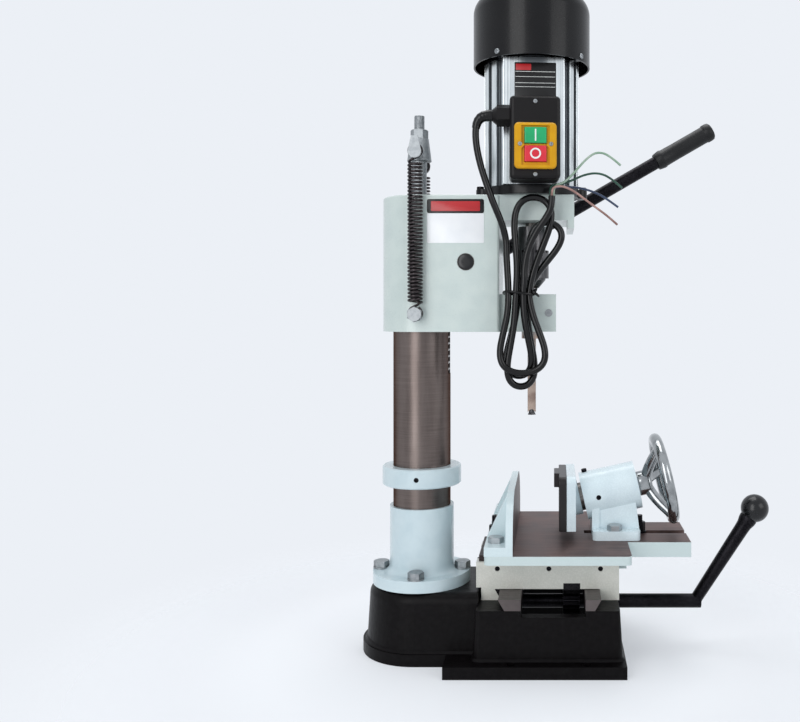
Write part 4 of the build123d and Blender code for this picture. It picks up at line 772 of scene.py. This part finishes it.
def spring_points(x, y):
    """Control points of a spring's wire, in millimetres, from the lower ring up to the upper one."""
    points = []
    for step in range(ring_points - 1):
        across, rise = around(pi / 3 - tau * step / ring_points, ring_points)
        points.append((x + across, y, ring_heights[0] + rise))
    points.append((x + leg_beside, y - leg_before, coil_heights[0] - leg_past))
    steps = coil_turns * turn_points - 3
    for step in range(steps + 1):
        across, along = around(tau * (step - 1) / turn_points, turn_points)
        height = coil_heights[0] + (coil_heights[1] - coil_heights[0]) * step / steps
        points.append((x + across, y + along, height))
    points.append((x - leg_beside, y - leg_before, coil_heights[1] + leg_past))
    for step in range(ring_points - 1):
        across, rise = around(tau * step / ring_points - pi / 3, ring_points)
        points.append((x + across, y, ring_heights[1] + rise))
    return points


for side, x, y in (("near", 0.3, -57), ("far", -6.9, 57)):
    wire_line = line_along(spring_points(x, y))[::wire_stride]
    coil = wire("return_coil_" + side, wire_line, wire_radius * mm, sides=8)
    spring = shown("return_coil_" + side, coil, "spring_black")
    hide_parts("return_spring_" + side)
    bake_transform(spring)

# Thread of the stud, above its nut
stud_x = -3.3
thread_foot, thread_height, thread_pitch = 635.6, 16, 1.75
thread_reach, thread_radius = 5.75, 0.75
thread_points = 16
thread_line = []
for step in range(int(thread_points * thread_height / thread_pitch)):
    turn = tau * step / thread_points
    thread_line.append(Vector((stud_x + thread_reach * cos(turn), thread_reach * sin(turn),
                               thread_foot + thread_pitch * step / thread_points)) * mm)
piece("stud_thread", wire("stud_thread", thread_line, thread_radius * mm, sides=6), "base", "zinc_bolts")

# The motor's own frame, which is turned a little on the head
motor_turn = Matrix.Rotation(radians(4), 3, "Z")
motor_front = motor_turn @ near


def on_motor(x, y, z):
    """A place in the motor's own frame, in millimetres, as a place on the machine."""
    return (Vector((spindle_x, 0, 0)) + motor_turn @ Vector((x, y, z))) * mm


# The clamp's own axis, up from the jaw to the handwheel
clamp_tilt = radians(12.5)
clamp_way = Vector((cos(clamp_tilt), 0, sin(clamp_tilt)))
clamp_up = Vector((-clamp_way.z, 0, clamp_way.x))
clamp_nose = Vector((265.7, 0, 198))


def on_clamp(along, up, out):
    """A place in millimetres from the clamp's nose, as a place on the machine."""
    return (clamp_nose + along * clamp_way + up * clamp_up + out * near) * mm


# Screws
zinc = finish_of["zinc_bolts"]
box_screw = cross_screw(2.5 * mm, 1.7 * mm)
cover_screw = cross_screw(3.4 * mm, 2.2 * mm)
cap_screw = socket_screw(4.2 * mm, 10.5 * mm, 2.4 * mm)
ear_screw = socket_screw(4.5 * mm, 3.5 * mm, 2.4 * mm)
barrel_screw = socket_screw(3.3 * mm, 4 * mm, 1.7 * mm)
grub_screw = socket_screw(2.9 * mm, 3 * mm, 1.5 * mm)
screws = [
    ("switch_screw_upper", box_screw, on_motor(0, -90, 650), motor_front, "head", zinc),
    ("switch_screw_lower", box_screw, on_motor(0, -90, 567.3), motor_front, "head", zinc),
    ("bezel_screw_left", box_screw, on_motor(-17.6, -96, 600.5), motor_front, "head", zinc),
    ("bezel_screw_right", box_screw, on_motor(17.6, -96, 600.5), motor_front, "head", zinc),
    ("ear_screw_left", ear_screw, on_motor(-63.2, 0, 561), top, "head", screw_black),
    ("ear_screw_right", ear_screw, on_motor(63.2, 0, 561), top, "head", screw_black),
    ("collar_screw", grub_screw, Vector((0, -43.8, 211.5)) * mm, near, "stop_collar", screw_black),
    ("clamp_oil_screw", barrel_screw, on_clamp(-60.5, 28.8, 0), clamp_up, "table", screw_black),
    ("clamp_key_screw", grub_screw, on_clamp(-50, 0, 26.1), near, "table", screw_black),
    ("fence_screw_near", cap_screw, Vector((90.5, -49, 149)) * mm, top, "table", screw_black),
    ("fence_screw_middle", cap_screw, Vector((90.5, 0, 149)) * mm, top, "table", screw_black),
]
cover_reach, cover_screw_height = 71.2, 715.5
for number, angle in enumerate((57, 147, 237, 327), 1):
    out = Vector((cos(radians(angle)), sin(radians(angle)), 0))
    place = (Vector((spindle_x, 0, cover_screw_height)) + cover_reach * out) * mm
    screws.append((f"cover_screw_{number}", cover_screw, place, out, "head", zinc))
for number, x in enumerate((96, 157, 218), 1):
    place = Vector((x, -43.6, 107)) * mm
    screws.append((f"gib_screw_{number}", grub_screw, place, near, "saddle", screw_black))
for name, mesh, place, way, body, finish in screws:
    piece(name, placed(mesh, place, way), body, "zinc_bolts", finish)

# Rubber grip of the feed lever, with a flared collar and a rim
grip_profile = [(10.6, 0), (10.9, 0.6), (12.2, 7.5), (12.2, 10), (11.4, 11.5), (11.1, 30), (11.1, 72),
                (11.3, 73.5), (12.1, 74.5), (12.1, 80), (11.4, 82.8), (9.2, 84.6), (6, 85)]
feed_x, feed_height = 58.5, 470
lever_foot = Vector((feed_x, 80, feed_height))
lever_tilt, grip_start = radians(30), 277
lever_way = Vector((cos(lever_tilt), 0, sin(lever_tilt)))
grip_place = (lever_foot + grip_start * lever_way) * mm
sleeve = placed(turned("lever_grip_sleeve", grip_profile, sides=48), grip_place, lever_way)
grip = piece("lever_grip_sleeve", sleeve, "feed_lever", "grip_rubber")
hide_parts("feed_lever_grip")

# Chrome handwheel. Its straight dished spokes widen towards the hub, and have a reach, a height and a radius
# at each place.
hub_profile = [(12.6, 0.1), (14.6, 0.5), (15, 1.6), (15, 14), (14.2, 16), (12.4, 17.4), (8.5, 17.9)]
spoke_profile = [(9, 12.6, 6.6), (16, 15, 6.6), (24, 18.6, 6.4), (32, 23, 6.2), (40, 28, 6), (48, 33, 5.8)]
spoke_radii = [radius * mm for *_, radius in spoke_profile]
rim_points, rim_reach, rim_height, rim_radius = 72, 49, 33.8, 7
rim_line = [Vector((x, y, rim_height)) * mm for x, y in circle(rim_reach, rim_points)]
wheel_forms = [turned("wheel_hub", hub_profile, sides=48),
               wire("wheel_rim", rim_line, rim_radius * mm, sides=24, closed=True)]
for x, y in circle(1, 3):
    spoke_line = [Vector((reach * x, reach * y, height)) * mm for reach, height, _ in spoke_profile]
    wheel_forms.append(tube("wheel_spoke", spoke_line, spoke_radii, sides=24))
wheel = placed(joined("handwheel_chrome", wheel_forms), clamp_nose * mm, clamp_way)
wheel = piece("handwheel_chrome", wheel, "handwheel", "wheel_chrome")
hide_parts("handwheel")

# Table lever, a taper from the shaft up to a neck under its ball
rod_profile = [(6.6, 0), (7.2, 1), (8.8, 106), (9.2, 112), (10.6, 117), (11, 121), (10.4, 124)]
rod_tilt, rod_length = radians(33), 136
rod_way = Vector((sin(rod_tilt), 0, cos(rod_tilt)))
rod_foot = middle_of("ball_knob") - rod_length * mm * rod_way
taper = placed(turned("table_lever_taper", rod_profile, sides=40), rod_foot, rod_way)
taper = piece("table_lever_taper", taper, "table_lever", "lever_black")
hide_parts("table_lever_rod")

# Black cap on the end of the feed shaft
head_front = -47
cap = turned("shaft_cap", [(9.7, 0), (9.7, 0.4), (9.2, 0.8), (5, 0.95)], sides=48)
cap = placed(cap, Vector((feed_x, head_front, feed_height)) * mm, near)
piece("shaft_cap", cap, "feed_pinion", "rack_steel", finish_of["knob_black"])

# Bare plates: on the head a dark strip over a pale panel, on the motor a ruled black plate
label_x = 46.45
strip_place = Vector((label_x, head_front, 535.9)) * mm
panel_place = Vector((label_x, head_front, 509.9)) * mm
plate_x, plate_y = 1.8, -54
plates = [
    ("head_panel", (67.5, 35.2, 1.5, 0.35), panel_place, near, "head_grey", plate_pale),
    ("head_strip", (67.5, 16.8, 2.5, 0.45), strip_place, near, "motor_black", plate_black),
    ("head_strip_field", (58, 11.7, 1.2, 0.6), strip_place, near, "button_red", plate_red),
    ("motor_plate", (49, 46, 1, 0.5), on_motor(plate_x, plate_y, 681), motor_front,
     "motor_black", plate_black),
    ("motor_plate_field", (18, 7.4, 0.5, 0.62), on_motor(-12.2, plate_y, 698.4), motor_front,
     "button_red", plate_red),
]
for name, (width, height, corner, thickness), place, way, slot, finish in plates:
    sheet = slab(name, rounded_outline(width * mm, height * mm, corner * mm), thickness * mm, 0.1 * mm)
    piece(name, placed(sheet, place, way), "head", slot, finish)
rule = slab("rule", rounded_outline(47 * mm, 0.5 * mm, 0.1 * mm, 1), 0.6 * mm, 0.05 * mm)
rule_heights = (693.1, 687.1, 679.8, 675.2)
rules = [placed(rule, on_motor(plate_x, plate_y, height), motor_front) for height in rule_heights]
piece("motor_plate_rules", joined("motor_plate_rules", rules), "head", "head_grey", mark_white)

# Marks on the two buttons, a bar and a ring
button_y = -96.5
mark_depth, mark_rounding = 0.3 * mm, 0.08 * mm
bar = slab("start_mark", rounded_outline(1.6 * mm, 13.6 * mm, 0.5 * mm, 3), mark_depth, mark_rounding)
bar = placed(bar, on_motor(0, button_y, 610.6), motor_front)
piece("start_mark", bar, "start_button", "button_green", mark_white)
ring_steps = 48
eye = slab("eye", circle(4.3 * mm, ring_steps), 2 * mm, 0.05 * mm)
eye.transform(Matrix.Translation((0, 0, -1 * mm)))
ring = carved(slab("stop_mark", circle(6.2 * mm, ring_steps), mark_depth, mark_rounding), eye)
ring = placed(ring, on_motor(0, button_y, 589.8), motor_front)
piece("stop_mark", ring, "stop_button", "button_red", mark_white)

# Edges that casting, moulding or tumbling has rounded
edge_widths = {
    "base_casting": 1.2, "column_socket": 1.0, "stop_collar": 0.4, "head_casting": 1.0,
    "saddle_casting": 0.8, "table_top": 0.7, "fence": 0.9, "clamp_body": 1.0, "jaw_plate": 1.2,
    "jaw_facing": 0.8, "motor_end_shield": 1.0, "fan_cover": 0.6, "motor_housing": 0.6, "switch_box": 0.6,
    "switch_bezel": 0.4, "cable_gland": 0.6, "spring_crossbar": 0.7, "spring_stud": 0.4, "stud_nut": 0.4,
    "spring_anchor_bolts": 0.4, "socket_bolts": 0.4, "table_bolts": 0.4, "lever_hub": 0.5,
    "chuck_sleeve": 0.3, "hollow_chisel": 0.2, "ball_knob": 0.4,
}
for node, width in edge_widths.items():
    soften(node, width * mm)

# Studio


def looked_at(finish):
    """1 for rays that show the studio, to the camera or in metal and glass, and 0 for those that light it."""
    kinds = ("Is Camera Ray", "Is Glossy Ray", "Is Transmission Ray")
    camera_ray, glossy_ray, clear_ray = (finish.node("ShaderNodeLightPath", {}, {}, kind) for kind in kinds)
    return camera_ray + glossy_ray + clear_ray > 0.5


backdrop = tint(236, 240, 246)
sky_light = 0.66
studio = Finish("studio", bpy.data.worlds.new("studio"))
bpy.context.scene.world = studio.material
sky_strength = sky_light + (1 - sky_light) * looked_at(studio)
studio.feed(studio.tree.nodes["Background"], {"Color": backdrop, "Strength": sky_strength})

# The floor is paper that glows a little where it is looked at, and fades out into the backdrop
floor_reach, floor_depth, floor_height = 900, -2, -0.2
fade_start, fade_end = 260 * mm, 620 * mm
floor_glow = 0.4
middle = middle_of("base_casting")
paper = Finish("studio_floor")
paper.wear({"Base Color": tint(246, 248, 251), "Roughness": 0.9})
surface = Signal(paper, paper.shader.outputs[0])
glow = paper.node("ShaderNodeEmission", {}, {"Color": backdrop})
clear = paper.node("ShaderNodeBsdfTransparent", {}, {})
surface = paper.node("ShaderNodeMixShader", {}, {0: floor_glow * looked_at(paper), 1: surface, 2: glow})
fade = paper.ramp(paper.distance(paper.place, middle), fade_start, fade_end)
surface = paper.node("ShaderNodeMixShader", {}, {0: fade, 1: surface, 2: clear})
paper.feed(paper.tree.nodes["Material Output"], {"Surface": surface})
floor_mesh = turned("studio_floor", [(floor_reach, floor_depth), (floor_reach, floor_height)], sides=64)
floor_mesh.transform(Matrix.Translation((middle.x, middle.y, 0)))
floor = bpy.data.objects.new("studio_floor", floor_mesh)
bpy.context.scene.collection.objects.link(floor)
floor.data.materials.append(paper.material)

light_target = Vector((0.13, 0, 0.35))


def soft_light(name, place, width, height, power):
    """A soft box aimed at the middle of the machine, unseen itself."""
    lamp = bpy.data.lights.new(name, "AREA")
    lamp.shape = "RECTANGLE"
    lamp.size = width
    lamp.size_y = height
    lamp.energy = power
    light = bpy.data.objects.new(name, lamp)
    bpy.context.scene.collection.objects.link(light)
    light.location = place
    light.rotation_euler = (light_target - light.location).to_track_quat("-Z", "Y").to_euler()
    light.visible_camera = False


soft_light("key_light", (-0.6, -1.5, 0.72), 0.8, 1.6, 12)
soft_light("fill_light", (1.5, -1.0, 0.9), 0.9, 0.9, 5)
soft_light("top_light", (0.1, 0.3, 1.9), 1.2, 1.2, 15)

bpy.context.scene.view_settings.view_transform = "Standard"
